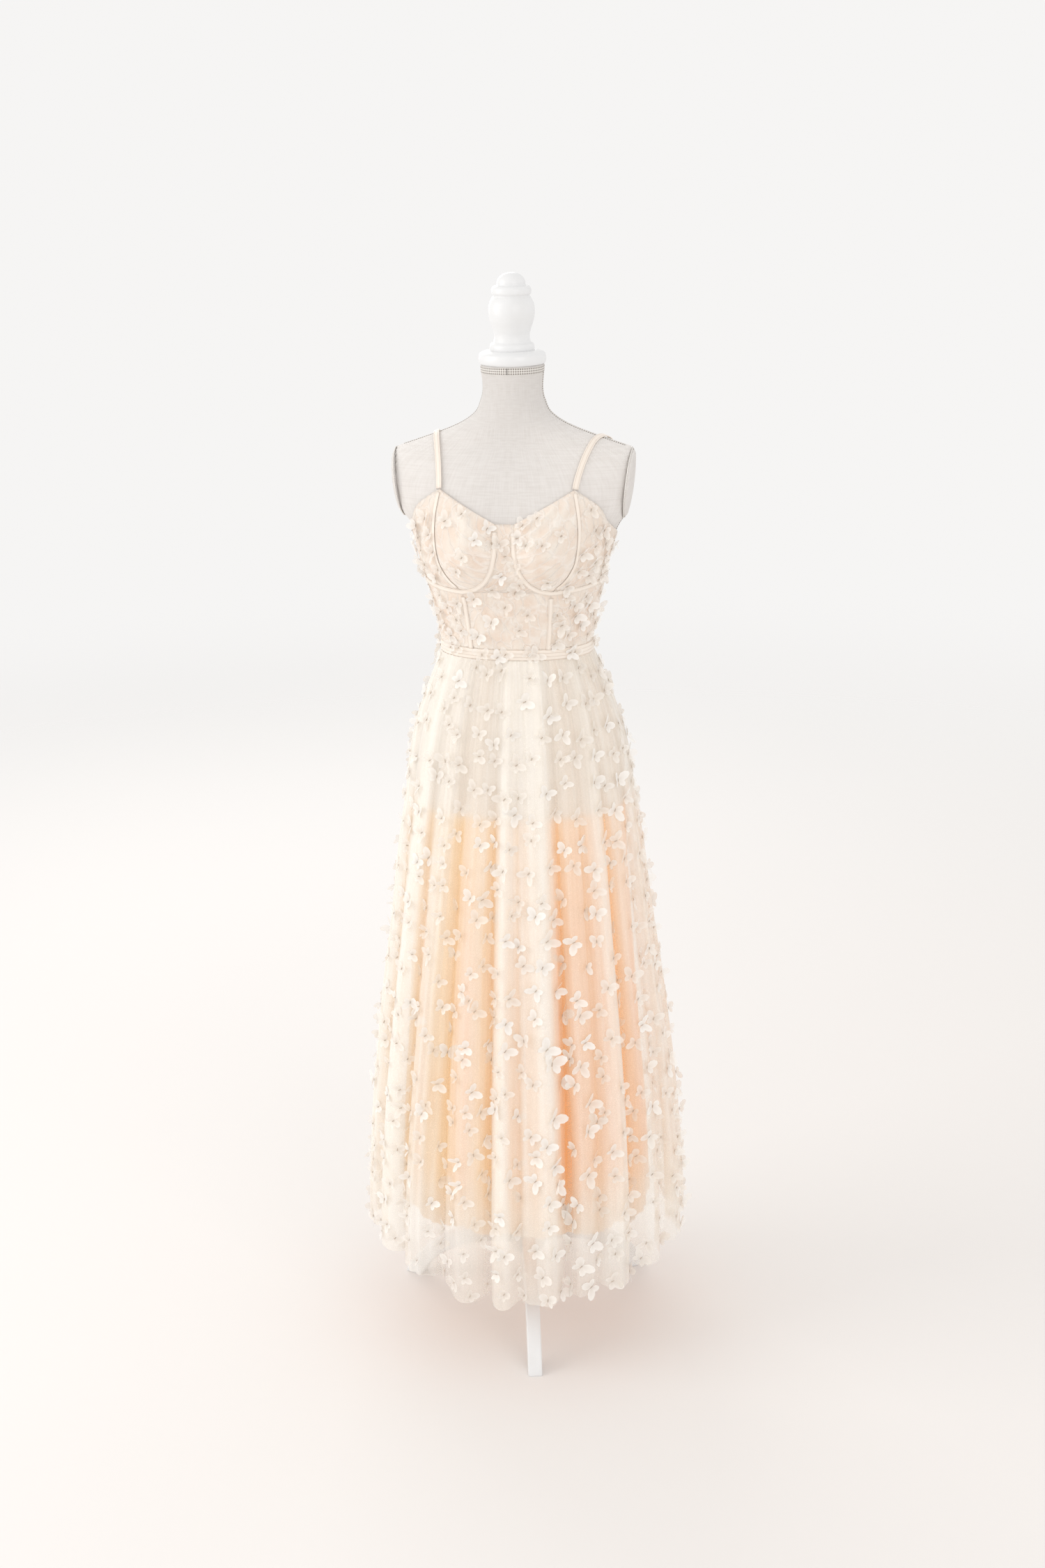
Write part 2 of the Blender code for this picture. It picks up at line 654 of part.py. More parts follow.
def evenly(line, count):
    """The same path with evenly spaced points."""
    run = np.concatenate([[0], np.cumsum(np.linalg.norm(np.diff(line, axis=0), axis=1))])
    at = np.linspace(0, run[-1], count)
    return np.column_stack([np.interp(at, run, line[:, i]) for i in range(3)])


def fold_columns(folds, first_angle, steps=FOLD_STEPS):
    """For each column round a panel: its angle, groove share, distance from crest, lean."""
    rows = [dict(zip(FOLD_COLUMNS, row)) for row in folds]
    scale = 180 / sum(row["width"] for row in rows)
    found, angle, before = [], first_angle, rows[-1]["groove_after"]
    for row in rows:
        half = row["width"] * scale / 2
        for step in steps:
            groove = before if step < 0 else row["groove_after"]
            found.append((angle + half * (1 + step), groove, abs(step), row["lean"]))
        angle += 2 * half
        before = row["groove_after"]
    found.append((angle, before, 1.0, 0.0))
    return np.array(found).T


def skirt_grid(sections, folds, first_angle, heights, hem_dip, steps=FOLD_STEPS):
    """Outer points of a skirt panel, a row for each height and the folds' columns across."""
    angle, groove, away, lean = fold_columns(folds, first_angle, steps)
    top, hem = heights[0], heights[-1]
    drop = ((top - heights) / (top - hem))[:, None]
    z = heights[:, None] - hem_dip * drop**3 * (1 - away**2)
    sizes = [column(sections, TULLE_COLUMNS, name, z) for name in TULLE_COLUMNS[1:]]
    around = np.stack(ring_point(angle + 1, *sizes[:3]), axis=-1)
    around = around - np.stack(ring_point(angle - 1, *sizes[:3]), axis=-1)
    around /= np.linalg.norm(around, axis=-1, keepdims=True)
    out = np.stack([around[..., 1], -around[..., 0]], axis=-1)
    inward = (sizes[3] * groove * away**FOLD_POWER)[..., None]
    sideways = (lean * drop * (1 - away**2))[..., None]
    level = np.stack(ring_point(angle, *sizes[:3]), axis=-1) - out * inward + around * sideways
    return np.concatenate([level, np.broadcast_to(z, level.shape[:2])[..., None]], axis=-1)


def grid_normals(grid):
    """Directions out of a grid whose columns run to the wearer's left and rows run down."""
    around = np.gradient(grid, axis=1)
    down = np.gradient(grid, axis=0)
    out = np.cross(down, around)
    return out / np.linalg.norm(out, axis=-1, keepdims=True)


def skirt_panel(name, grid, thick, finish):
    """A skirt panel's wall, its side edges moved in by half a seam gap."""
    grid = grid.copy()
    for edge, inside in ((0, 1), (-1, -2)):
        run = grid[:, inside] - grid[:, edge]
        run /= np.linalg.norm(run, axis=1, keepdims=True)
        grid[:, edge] += run * SEAM_GAP
    normals = grid_normals(grid)
    normals[:, (0, -1), 1] = 0
    normals[0, :, 2] = normals[-1, :, 2] = 0
    normals /= np.linalg.norm(normals, axis=-1, keepdims=True)
    return wall(name, grid, grid - thick * normals, finish), normals


def ridge_places(grid, normals, fold_count, levels):
    """Where butterflies sit on a panel: near each crest, at several levels, unevenly."""
    rows, per_fold = grid.shape[0], len(FOLD_STEPS)
    places = []
    for fold in range(fold_count):
        for level in range(levels):
            chance = (fold * levels + level + 1) * GOLDEN_SHARE % 1
            height = (level + 0.25 + 0.5 * (fold % 2) + 0.2 * chance) / levels
            at = 0.4 + height * (rows - 1.9)
            i = min(int(at), rows - 2)
            j = fold * per_fold + (2, 3)[(fold + level) % 2]
            part = at - i
            centre = (1 - part) * grid[i, j] + part * grid[i + 1, j]
            out = (1 - part) * normals[i, j] + part * normals[i + 1, j]
            spin = math.radians(70 * (chance - 0.5))
            level_way = np.cross((0, 0, 1), out)
            up = np.array((0, 0, math.cos(spin))) + math.sin(spin) * level_way
            places.append((centre, out, up))
    return places


def make_skirt():
    top = WAIST_HEIGHT - SEAM_GAP
    heights = np.array([top, 1.105, 1.055, 0.985, 0.905, 0.79, 0.65, 0.50, 0.34, 0.22, TULLE_HEM])
    for label, folds, first in (("front", TULLE_FRONT_FOLDS, -90), ("back", TULLE_BACK_FOLDS, 90)):
        grid = skirt_grid(TULLE_SECTIONS, folds, first, heights, HEM_DIP)
        panel, normals = skirt_panel(f"skirt_tulle_{label}", grid, TULLE_THICK, "tulle")
        sew_butterflies(panel, ridge_places(grid, normals, len(folds), BUTTERFLY_LEVELS))
    heights = np.array([top, 1.090, 1.035, 0.985, 0.935, 0.87, 0.70, 0.47, LINING_HEM])
    steps = (-1.0, -0.5, 0.0, 0.5)
    for label, first in (("front", -90), ("back", 90)):
        grid = skirt_grid(LINING_SECTIONS, LINING_FOLDS, first, heights, 0.0, steps)
        skirt_panel(f"skirt_lining_{label}", grid, LINING_THICK, "lining")


def make_form():
    """The torso of the dress form, one closed solid from the hips to the neck."""
    rows = [row[0] for row in FORM_SECTIONS]
    heights = np.array(sorted({*rows, *FORM_EXTRA_RINGS}))[:, None]
    angle = np.arange(0, 360, 11.25)[None, :]
    rings = form_point(angle, heights)
    count = rings.shape[1]
    points = [*rings.reshape(-1, 3), (0, 0, heights[0, 0]), (0, 0, heights[-1, 0])]
    low, high = len(points) - 2, len(points) - 1
    faces = []
    for j in range(count):
        k = (j + 1) % count
        faces.append((low, k, j))
        last = (len(rings) - 1) * count
        faces.append((high, last + j, last + k))
        for i in range(len(rings) - 1):
            base = i * count
            faces.append((base + j, base + k, base + count + k, base + count + j))
    return mesh_object("form_torso", points, faces, "form_jersey")


def make_arm_plates():
    """Oval plates that close the armholes, domed outwards, on the torso's cut planes."""
    tilt = math.atan(ARM_PLANE_SLOPE)
    up = np.array((math.sin(tilt), 0, math.cos(tilt)))
    out = np.array((math.cos(tilt), 0, -math.sin(tilt)))
    centre_z = ARM_PLANE_Z + 0.006
    centre = np.array((ARM_PLANE_X + 0.006 * ARM_PLANE_SLOPE, -0.004, centre_z))
    turns = np.radians(np.arange(0, 360, 15))
    for label, side in (("left", 1), ("right", -1)):
        points, faces = [centre + out * SEAM_GAP], []
        for share, lift in ((1, 0), (0.97, 0.55), (0.6, 0.9)):
            for turn in turns:
                spot = centre + out * (SEAM_GAP + lift * ARM_PLATE_THICK)
                spot = spot + up * share * ARM_PLATE_HALF_HEIGHT * math.sin(turn)
                points.append(spot + np.array((0, share * ARM_PLATE_HALF_DEPTH * math.cos(turn), 0)))
        points.append(centre + out * (SEAM_GAP + ARM_PLATE_THICK))
        count = len(turns)
        for j in range(count):
            k = (j + 1) % count
            faces.append((0, 1 + k, 1 + j))
            faces.append((1 + j, 1 + k, 1 + count + k, 1 + count + j))
            faces.append((1 + count + j, 1 + count + k, 1 + 2 * count + k, 1 + 2 * count + j))
            faces.append((1 + 2 * count + j, 1 + 2 * count + k, len(points) - 1))
        points = [(side * x, y, z) for x, y, z in points]
        plate = mesh_object(f"form_arm_plate_{label}", points, faces, "form_jersey")
        if volume(plate) < 0:
            plate.data.flip_normals()


def make_stand():
    neck_top = FORM_SECTIONS[-1][0]
    turned("form_neck_cap", CAP_PROFILE, neck_top + SEAM_GAP, 28, "white_paint")
    finial_foot = TOTAL_HEIGHT - FINIAL_HEIGHT
    turned("form_finial", (*FINIAL_PROFILE, (FINIAL_HEIGHT, 0.0035)), finial_foot, 16, "white_paint")
    turned("stand_hub", HUB_PROFILE, HUB_BOTTOM, 24, "white_paint")
    pole = ((0, POLE_RADIUS), (FORM_BOTTOM - HUB_TOP - 2 * SEAM_GAP, POLE_RADIUS))
    turned("stand_pole", pole, HUB_TOP + SEAM_GAP, 16, "white_paint")
    for label, angle in LEG_ANGLES.items():
        make_leg(f"stand_leg_{label}", math.radians(angle))


def make_leg(name, turn):
    """An arched leg cut from board, flat where it stands on the floor."""
    share = np.sin(np.linspace(0, np.pi / 2, 12))
    start = HUB_RADIUS + SEAM_GAP
    outline = []
    for reach, rise in ((LEG_UNDER_REACH, LEG_UNDER_RISE), (LEG_TOP_REACH, LEG_TOP_RISE)):
        radius = start + share * (reach - start)
        outline.append((radius, rise * (1 - (radius / reach) ** 2).clip(0) ** LEG_CURVE_POWER))
    along = np.array((math.sin(turn), -math.cos(turn), 0))
    across = np.array((math.cos(turn), math.sin(turn), 0))
    face = np.stack([r[:, None] * along + z[:, None] * np.array((0, 0, 1)) for r, z in outline])
    half = across * LEG_THICK / 2
    wall(name, face + half, face - half, "white_paint")


def main():
    clear_scene()
    form = make_form()
    make_arm_plates()
    make_stand()
    make_cups()
    make_lower_bodice()
    make_casings()
    make_waistband()
    make_straps(form)
    make_skirt()


main()
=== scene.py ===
"""A tulle maxi dress with sewn organza butterflies, on a limbless dress form with a tripod.

Metres, +Z up. The dress faces -Y and the wearer's left is +X. Angles round the body are in
degrees from the front, 0 at -Y and 90 at +X.
"""

import logging
import math
from dataclasses import dataclass, field
from enum import Enum
from typing import Any, Optional, Sequence, Union

import bpy
import numpy as np
from mathutils import Matrix, Vector


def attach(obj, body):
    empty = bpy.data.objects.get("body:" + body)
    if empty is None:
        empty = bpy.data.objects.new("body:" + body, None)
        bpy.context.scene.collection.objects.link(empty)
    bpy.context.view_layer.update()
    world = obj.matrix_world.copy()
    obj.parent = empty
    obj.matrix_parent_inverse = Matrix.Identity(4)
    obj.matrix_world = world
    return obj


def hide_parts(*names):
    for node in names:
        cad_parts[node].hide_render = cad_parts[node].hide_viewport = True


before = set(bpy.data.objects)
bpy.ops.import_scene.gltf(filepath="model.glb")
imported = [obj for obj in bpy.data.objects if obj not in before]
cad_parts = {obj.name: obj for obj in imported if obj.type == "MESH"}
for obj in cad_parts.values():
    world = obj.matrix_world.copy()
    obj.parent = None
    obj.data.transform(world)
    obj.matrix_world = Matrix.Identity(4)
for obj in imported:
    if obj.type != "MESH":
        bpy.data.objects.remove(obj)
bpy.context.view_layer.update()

Array = np.ndarray
Colour = tuple[float, float, float]
Number = Union[float, Array]
BODY = "root"
log = logging.getLogger("tulle_dress")


class Slot(Enum):
    """The record's material slots."""

    TULLE = "tulle"
    BODICE = "bodice_tulle"
    LINING = "lining"
    TAPE = "tape"
    JERSEY = "form_jersey"
    PAINT = "white_paint"


class Side(Enum):
    """The wearer's sides, as the sign of x."""

    LEFT = 1
    RIGHT = -1


# ---- Shader nodes


class Socket:
    """A node's output that Python's operators act on by adding Math nodes."""

    def __init__(self, graph: "Graph", output: Any) -> None:
        """Keeps the graph and the output socket."""
        self.graph, self.output = graph, output

    def _math(self, operation: str, *values: Any) -> "Socket":
        """Adds a Math node on these values."""
        return self.graph.node("ShaderNodeMath", {"operation": operation}, dict(enumerate(values)))

    def __add__(self, other: Any) -> "Socket":
        """self + other."""
        return self._math("ADD", self, other)

    def __sub__(self, other: Any) -> "Socket":
        """self - other."""
        return self._math("SUBTRACT", self, other)

    def __rsub__(self, other: Any) -> "Socket":
        """other - self."""
        return self._math("SUBTRACT", other, self)

    def __mul__(self, other: Any) -> "Socket":
        """self * other."""
        return self._math("MULTIPLY", self, other)

    def __pow__(self, other: Any) -> "Socket":
        """self to the power of other."""
        return self._math("POWER", self, other)

    __radd__, __rmul__ = __add__, __mul__

    def sine(self) -> "Socket":
        """The sine of the value."""
        return self._math("SINE", self)

    def ramp(self, low: float, high: float, start: float = 0.0, end: float = 1.0) -> "Socket":
        """Goes smoothly from start at low to end at high."""
        settings = {"interpolation_type": "SMOOTHSTEP", "clamp": True}
        inputs = {"Value": self, "From Min": low, "From Max": high, "To Min": start, "To Max": end}
        return self.graph.node("ShaderNodeMapRange", settings, inputs)


class Graph:
    """A material's nodes, with the few that these finishes use."""

    def __init__(self, name: str) -> None:
        """Makes the material with an empty tree and its output."""
        self.material = bpy.data.materials.new(name)
        self.material.use_nodes = True
        self.tree = self.material.node_tree
        self.tree.nodes.clear()
        self.end = self.tree.nodes.new("ShaderNodeOutputMaterial")

    def node(self, kind: str, settings: Optional[dict] = None, inputs: Optional[dict] = None,
             output: Union[int, str] = 0) -> Socket:
        """Adds any node.

        Args:
            kind: the node's type.
            settings: its properties, set first.
            inputs: values or Sockets by input name or number.
            output: which output to give back.

        Returns:
            The wrapped output.
        """
        made = self.tree.nodes.new(kind)
        for key, value in (settings or {}).items():
            setattr(made, key, value)
        for key, value in (inputs or {}).items():
            if isinstance(value, Socket):
                self.tree.links.new(value.output, made.inputs[key])
            else:
                made.inputs[key].default_value = value
        return Socket(self, made.outputs[output])

    def place(self) -> Socket:
        """Object coordinates, in metres."""
        return self.node("ShaderNodeTexCoord", output="Object")

    def cloth(self) -> Socket:
        """The piece's own cloth coordinates, in metres."""
        return self.node("ShaderNodeUVMap", {"uv_map": "Cloth"})

    def mark(self, name: str) -> Socket:
        """A value that the mesh carries at its points."""
        return self.node("ShaderNodeAttribute", {"attribute_name": name}, output="Fac")

    def axis(self, vector: Socket, name: str) -> Socket:
        """One component of a vector: X, Y or Z."""
        return self.node("ShaderNodeSeparateXYZ", None, {0: vector}, name)

    def stretched(self, vector: Socket, scale: Sequence[float]) -> Socket:
        """The vector with its components scaled."""
        return self.node("ShaderNodeVectorMath", {"operation": "MULTIPLY"},
                         {0: vector, 1: tuple(scale)})

    def noise(self, vector: Socket, scale: float, detail: float = 2.0) -> Socket:
        """Soft noise between about 0.25 and 0.75."""
        return self.node("ShaderNodeTexNoise", None,
                         {"Vector": vector, "Scale": scale, "Detail": detail}, "Fac")

    def cells(self, vector: Socket, scale: float) -> Socket:
        """Distance from the edges of small cells, 0 on the threads of a net."""
        return self.node("ShaderNodeTexVoronoi", {"feature": "DISTANCE_TO_EDGE"},
                         {"Vector": vector, "Scale": scale}, "Distance")

    def mix(self, share: Any, first: Any, second: Any) -> Socket:
        """A colour between two, by share."""
        full = [(*c, 1.0) if isinstance(c, tuple) else c for c in (first, second)]
        return self.node("ShaderNodeMix", {"data_type": "RGBA"},
                         {0: share, 6: full[0], 7: full[1]}, 2)

    def bump(self, height: Socket, distance: float, strength: float = 1.0) -> Socket:
        """A normal bent by a height in shares of the distance."""
        return self.node("ShaderNodeBump", None,
                         {"Height": height, "Distance": distance, "Strength": strength})

    def surface(self, **inputs: Any) -> bpy.types.Material:
        """Ends the tree in a Principled shader; names have _ for a space.

        Returns:
            The finished material.
        """
        named = {}
        for key, value in inputs.items():
            named[key.replace("_", " ")] = (*value, 1.0) if isinstance(value, tuple) else value
        shader = self.node("ShaderNodeBsdfPrincipled", None, named)
        self.tree.links.new(shader.output, self.end.inputs["Surface"])
        return self.material


# ---- Finishes


@dataclass(frozen=True)
class TulleFinish:
    """Sheer net that hides less and warms where it falls into a fold; the warmth is partly the
    lining seen through and partly painted light, and a faint emission paints a glow.
    """

    name: str = "sheer_tulle"
    cream: Colour = (0.950, 0.890, 0.805)
    warm: Colour = (0.97, 0.72, 0.46)
    groove_cover: float = 0.16
    glow: float = 0.05
    net_per_metre: float = 520.0

    def make(self) -> bpy.types.Material:
        """Base colour goes from cream on a crest to warm in a groove below the form, partly painted
        light coming through the layers.

        Returns:
            The material.
        """
        g = Graph(self.name)
        cloth, fold = g.cloth(), g.mark("fold")
        height = g.axis(g.place(), "Z")
        # painted light: this mask marks where, below the form, the grooves warm as if lit through
        # the layered cloth
        glow = height.ramp(0.915, 0.880) * height.ramp(0.12, 0.30, 0.10, 1.0)
        streaks = g.noise(g.stretched(cloth, (64.0, 2.4, 1.0)), 1.0, 3.0)
        bands = g.noise(g.stretched(cloth, (24.0, 1.3, 1.0)), 1.0, 2.0)
        veil = g.mark("veil")
        # partly painted light: warmth in the grooves below the form stands for light coming through
        # the layers, over the lining's peach seen through
        warmth = (fold ** 1.4) * glow * 0.70 + (bands - 0.55) * glow * 0.4
        base = g.mix(warmth, self.cream, self.warm)
        base = g.mix(streaks.ramp(0.40, 0.70, 0.0, 0.35), base, (0.96, 0.92, 0.87))
        thread = g.cells(cloth, self.net_per_metre).ramp(0.03, 0.16, 1.0, 0.0)
        cover = (veil * (1.0 - fold) + fold * self.groove_cover + (streaks - 0.5) * 0.28
                 - (bands - 0.5) * 0.30 + thread * 0.10)
        cover = cover * height.ramp(0.12, 0.30, 0.66, 1.0)
        # painted glow: a weak emission of the base colour stands for light coming through the net
        through = g.mix(self.glow, (0.0, 0.0, 0.0), base)
        return g.surface(Base_Color=base, Alpha=cover, Roughness=0.78, Sheen_Weight=0.35,
                         Emission_Color=through, Emission_Strength=1.0,
                         Sheen_Roughness=0.5, Specular_IOR_Level=0.25,
                         Normal=g.bump(thread + streaks * 2.0, 0.0006, 0.5))


@dataclass(frozen=True)
class LiningFinish:
    """Soft plain-woven lining, pale over the form and deep peach below it; the peach below the form,
    its change from side to side and its deeper folds are partly painted light coming through it.
    """

    name: str = "peach_lining"
    pale: Colour = (0.95, 0.835, 0.725)
    honey: Colour = (0.97, 0.70, 0.37)
    peach: Colour = (0.97, 0.655, 0.40)
    deep: Colour = (0.96, 0.43, 0.14)
    glow: float = 0.13

    def make(self) -> bpy.types.Material:
        """Colour deepens below the form and in the folds as painted light and shade of the light
        that comes through, shifts from yellow on the -X side towards the window light to orange on
        the +X side as painted light, and a weak emission paints a glow.

        Returns:
            The material.
        """
        g = Graph(self.name)
        cloth, fold = g.cloth(), g.mark("fold")
        height = g.axis(g.place(), "Z")
        clouds = g.noise(cloth, 6.0, 3.0)
        # painted light: yellower on the -X side towards the window light, deeper orange on the +X
        # side away from it
        aside = g.axis(g.place(), "X").ramp(-0.12, 0.10)
        # partly painted light: below the form the lining turns peach where light comes through it,
        # while the form behind keeps the top pale
        below = height.ramp(0.912, 0.893) * height.ramp(0.20, 0.33, 0.12, 1.0)
        base = g.mix(below, self.pale, g.mix(aside, self.honey, self.peach))
        # painted shade and glow: deeper orange in the folds, lower down and away from the light
        low = height.ramp(0.90, 0.58, 0.30, 1.0)
        base = g.mix((fold * 0.55 + aside * 0.35 + (clouds - 0.5) * 0.5) * below * low,
                     base, self.deep)
        weave = (g.axis(cloth, "X") * 5200.0).sine() * (g.axis(cloth, "Y") * 5200.0).sine()
        # painted glow: an emission of the base colour, stronger below the form, stands for light
        # coming through the cloth
        through = g.mix(below * self.glow + 0.05, (0.0, 0.0, 0.0), base)
        return g.surface(Base_Color=base, Roughness=0.62, Sheen_Weight=0.25,
                         Specular_IOR_Level=0.3, Emission_Color=through, Emission_Strength=1.0,
                         Normal=g.bump(weave + clouds * 3.0, 0.0004, 0.4))


@dataclass(frozen=True)
class OrganzaFinish:
    """Crisp translucent wings, whiter at the rim, with fine veins."""

    name: str = "wing_organza"
    rim: Colour = (0.95, 0.905, 0.845)
    root: Colour = (0.93, 0.855, 0.770)

    def make(self) -> bpy.types.Material:
        """Colour and cover run from the body (mark reach 0) to the rim (1).

        Returns:
            The material.
        """
        g = Graph(self.name)
        reach, veins, fresh = g.mark("reach"), g.mark("vein"), g.mark("fresh")
        lines = (veins * 44.0).sine().ramp(0.55, 1.0)
        base = g.mix(reach.ramp(0.1, 0.9), self.root, self.rim)
        base = g.mix(lines * 0.15, base, (0.92, 0.83, 0.74))
        base = g.mix(fresh * 0.7, base, (0.975, 0.95, 0.915))
        cover = reach.ramp(0.0, 1.0, 0.34, 0.52) + fresh * 0.36
        return g.surface(Base_Color=base, Alpha=cover, Roughness=0.5,
                         Sheen_Weight=0.4, Specular_IOR_Level=0.35,
                         Normal=g.bump(lines, 0.0003, 0.5))


@dataclass(frozen=True)
class ThreadFinish:
    """The dull tan thread that ties each butterfly down."""

    name: str = "tie_thread"
    tan: Colour = (0.42, 0.34, 0.27)

    def make(self) -> bpy.types.Material:
        """Twisted thread, darker in its turns.

        Returns:
            The material.
        """
        g = Graph(self.name)
        turns = g.noise(g.place(), 900.0, 1.0)
        return g.surface(Base_Color=g.mix(turns, self.tan, (0.55, 0.46, 0.37)), Roughness=0.7,
                         Normal=g.bump(turns, 0.0002))


@dataclass(frozen=True)
class BodiceFinish:
    """Net laid over a cream-beige cloth, mottled where the two layers part, with painted shade in
    the valleys of its creases.
    """

    name: str = "bodice_net"
    cream: Colour = (0.900, 0.815, 0.725)
    beige: Colour = (0.860, 0.700, 0.580)

    def make(self) -> bpy.types.Material:
        """Clouds, streaks and thin crumple lines mix the colours, the crease mark adds painted shade
        in the valleys, and the net is a bump.

        Returns:
            The material.
        """
        g = Graph(self.name)
        cloth = g.cloth()
        wander = g.node("ShaderNodeTexNoise", None, {"Vector": cloth, "Scale": 60.0}, "Color")
        bent = g.node("ShaderNodeVectorMath", {"operation": "MULTIPLY_ADD"},
                      {0: wander, 1: (0.016, 0.016, 0.0), 2: cloth})
        crumple = g.cells(g.stretched(bent, (1.0, 0.62, 1.0)), 62.0).ramp(0.0, 0.11, 1.0, 0.0)
        clouds = g.noise(cloth, 34.0, 4.0)
        streaks = g.noise(g.stretched(cloth, (160.0, 28.0, 1.0)), 1.0, 3.0)
        # the crease mark is painted shade: it darkens the valleys of the panels' creases and
        # wrinkles towards beige
        share = clouds.ramp(0.38, 0.66) * 0.55 + (streaks - 0.45) * 0.6 + g.mark("crease") * 0.6
        thread = g.cells(cloth, 620.0).ramp(0.03, 0.15, 1.0, 0.0)
        base = g.mix(share, self.cream, self.beige)
        base = g.mix(thread * 0.20, base, (0.95, 0.90, 0.84))
        base = g.mix(crumple * 0.45, base, (0.955, 0.905, 0.85))
        height = clouds * 4.0 + streaks * 2.0 + thread * 0.3 + crumple * 1.2
        return g.surface(Base_Color=base, Roughness=0.8, Sheen_Weight=0.3, Sheen_Roughness=0.5,
                         Specular_IOR_Level=0.25, Normal=g.bump(height, 0.0009, 0.7))


@dataclass(frozen=True)
class TapeFinish:
    """Folded satin tape with a row of stitches near each edge."""

    name: str = "satin_tape"
    cream: Colour = (0.895, 0.810, 0.722)
    half_width: float = 0.00375

    def make(self) -> bpy.types.Material:
        """Stitches are dashes 2.6 mm long on lines 72% of the way to each edge.

        Returns:
            The material.
        """
        g = Graph(self.name)
        cloth = g.cloth()
        along, across = g.axis(cloth, "X"), g.axis(cloth, "Y")
        away = g.node("ShaderNodeMath", {"operation": "ABSOLUTE"}, {0: across}) * (
            1.0 / self.half_width)
        line = away.ramp(0.60, 0.70) * away.ramp(0.84, 0.74)
        dash = (along * (2 * math.pi / 0.0026)).sine().ramp(-0.5, 0.1)
        grain = g.noise(g.stretched(cloth, (60.0, 900.0, 1.0)), 1.0, 2.0)
        base = g.mix(line * 0.55 + (grain - 0.4) * 0.5, self.cream, (0.80, 0.655, 0.54))
        return g.surface(Base_Color=base, Roughness=0.5, Sheen_Weight=0.3,
                         Specular_IOR_Level=0.4,
                         Normal=g.bump(line * dash * -1.0 + grain * 0.3, 0.0004))


@dataclass(frozen=True)
class LinenFinish:
    """The form's pale linen cover, a plain weave with slubs."""

    name: str = "form_linen"
    light: Colour = (0.905, 0.868, 0.835)
    dark: Colour = (0.815, 0.770, 0.730)
    threads_per_metre: float = 900.0

    def make(self) -> bpy.types.Material:
        """Two sets of threads cross, and long noise along each makes the slubs.

        Returns:
            The material.
        """
        g = Graph(self.name)
        cloth, turn = g.cloth(), 2 * math.pi * self.threads_per_metre
        warp = (g.axis(cloth, "X") * turn).sine()
        weft = (g.axis(cloth, "Y") * turn).sine()
        slubs = g.noise(g.stretched(cloth, (30.0, 420.0, 1.0)), 1.0, 3.0)
        slubs = slubs + g.noise(g.stretched(cloth, (420.0, 30.0, 1.0)), 1.0, 3.0)
        base = g.mix((slubs - 1.0) * 1.6 + warp * weft * 0.18 + 0.3, self.light, self.dark)
        return g.surface(Base_Color=base, Roughness=0.88, Sheen_Weight=0.2,
                         Specular_IOR_Level=0.2,
                         Normal=g.bump(warp * weft + slubs * 2.0, 0.0005, 0.6))


@dataclass(frozen=True)
class BraidFinish:
    """Narrow braid over the form's seams, grey dots on pale cord."""

    name: str = "seam_braid"
    pale: Colour = (0.80, 0.77, 0.73)
    grey: Colour = (0.30, 0.27, 0.245)

    def make(self) -> bpy.types.Material:
        """Rows of dots every 3.4 mm along and across the braid, each row shifted by half.

        Returns:
            The material.
        """
        g = Graph(self.name)
        cloth, turn = g.cloth(), math.pi / 0.0034
        along, across = g.axis(cloth, "X") * turn, g.axis(cloth, "Y") * turn
        wave = (along + across).sine() * (along - across).sine()
        dots = wave.ramp(0.0, 0.25)
        return g.surface(Base_Color=g.mix(dots, self.pale, self.grey), Roughness=0.8,
                         Normal=g.bump(wave, 0.0003))


@dataclass(frozen=True)
class PaintFinish:
    """White satin paint on turned and sawn wood, a little worn and brushed."""

    name: str = "satin_white_paint"
    white: Colour = (0.80, 0.803, 0.806)

    def make(self) -> bpy.types.Material:
        """Brush marks run along the grain, and the gloss varies in soft patches.

        Returns:
            The material.
        """
        g = Graph(self.name)
        place = g.place()
        brush = g.noise(g.stretched(place, (70.0, 70.0, 900.0)), 1.0, 2.0)
        patches = g.noise(place, 24.0, 3.0)
        base = g.mix(patches.ramp(0.45, 0.75) * 0.5, self.white, (0.76, 0.757, 0.75))
        return g.surface(Base_Color=base, Roughness=patches.ramp(0.3, 0.7, 0.28, 0.46),
                         Coat_Weight=0.15, Normal=g.bump(brush + patches * 2.0, 0.0003, 0.35))


@dataclass(frozen=True)
class FloorFinish:
    """A plain pale studio floor that fades into the room's light far from the dress."""

    name: str = "pale_floor"
    fade: tuple[float, float] = (1.0, 5.6)
    pale: Colour = (0.835, 0.812, 0.795)

    def make(self) -> bpy.types.Material:
        """Almost even, with faint broad clouds.

        Returns:
            The material.
        """
        g = Graph(self.name)
        place = g.place()
        clouds = g.noise(place, 0.8, 2.0)
        away = g.node("ShaderNodeVectorMath", {"operation": "LENGTH"}, {0: place}, "Value")
        return g.surface(Alpha=away.ramp(*self.fade, 1.0, 0.0),
                         Base_Color=g.mix(clouds, self.pale, (0.815, 0.79, 0.77)),
                         Roughness=0.75, Specular_IOR_Level=0.2)


FINISHES = {
    kind: kind().make()
    for kind in (TulleFinish, LiningFinish, OrganzaFinish, ThreadFinish, BodiceFinish,
                 TapeFinish, LinenFinish, BraidFinish, PaintFinish, FloorFinish)
}


# ---- Surfaces


def fair(points: Any, count: int = 0, at: Optional[Array] = None,
         unit: Sequence[float] = ()) -> Array:
    """A smooth curve through points: cubic pieces whose slopes are central differences.

    Args:
        points: n points of any dimension.
        count: how many evenly spaced points to give back.
        at: shares of the length to read instead.
        unit: scales of the dimensions when the length is measured.

    Returns:
        The points on the curve.
    """
    points = np.asarray(points, float)
    steps = np.diff(points, axis=0) * (np.array(unit) if len(unit) else 1.0)
    run = np.concatenate([[0.0], np.cumsum(np.linalg.norm(steps, axis=1))])
    at = np.linspace(0, 1, count) if at is None else np.asarray(at)
    return Curve(run / run[-1], points).at(at)


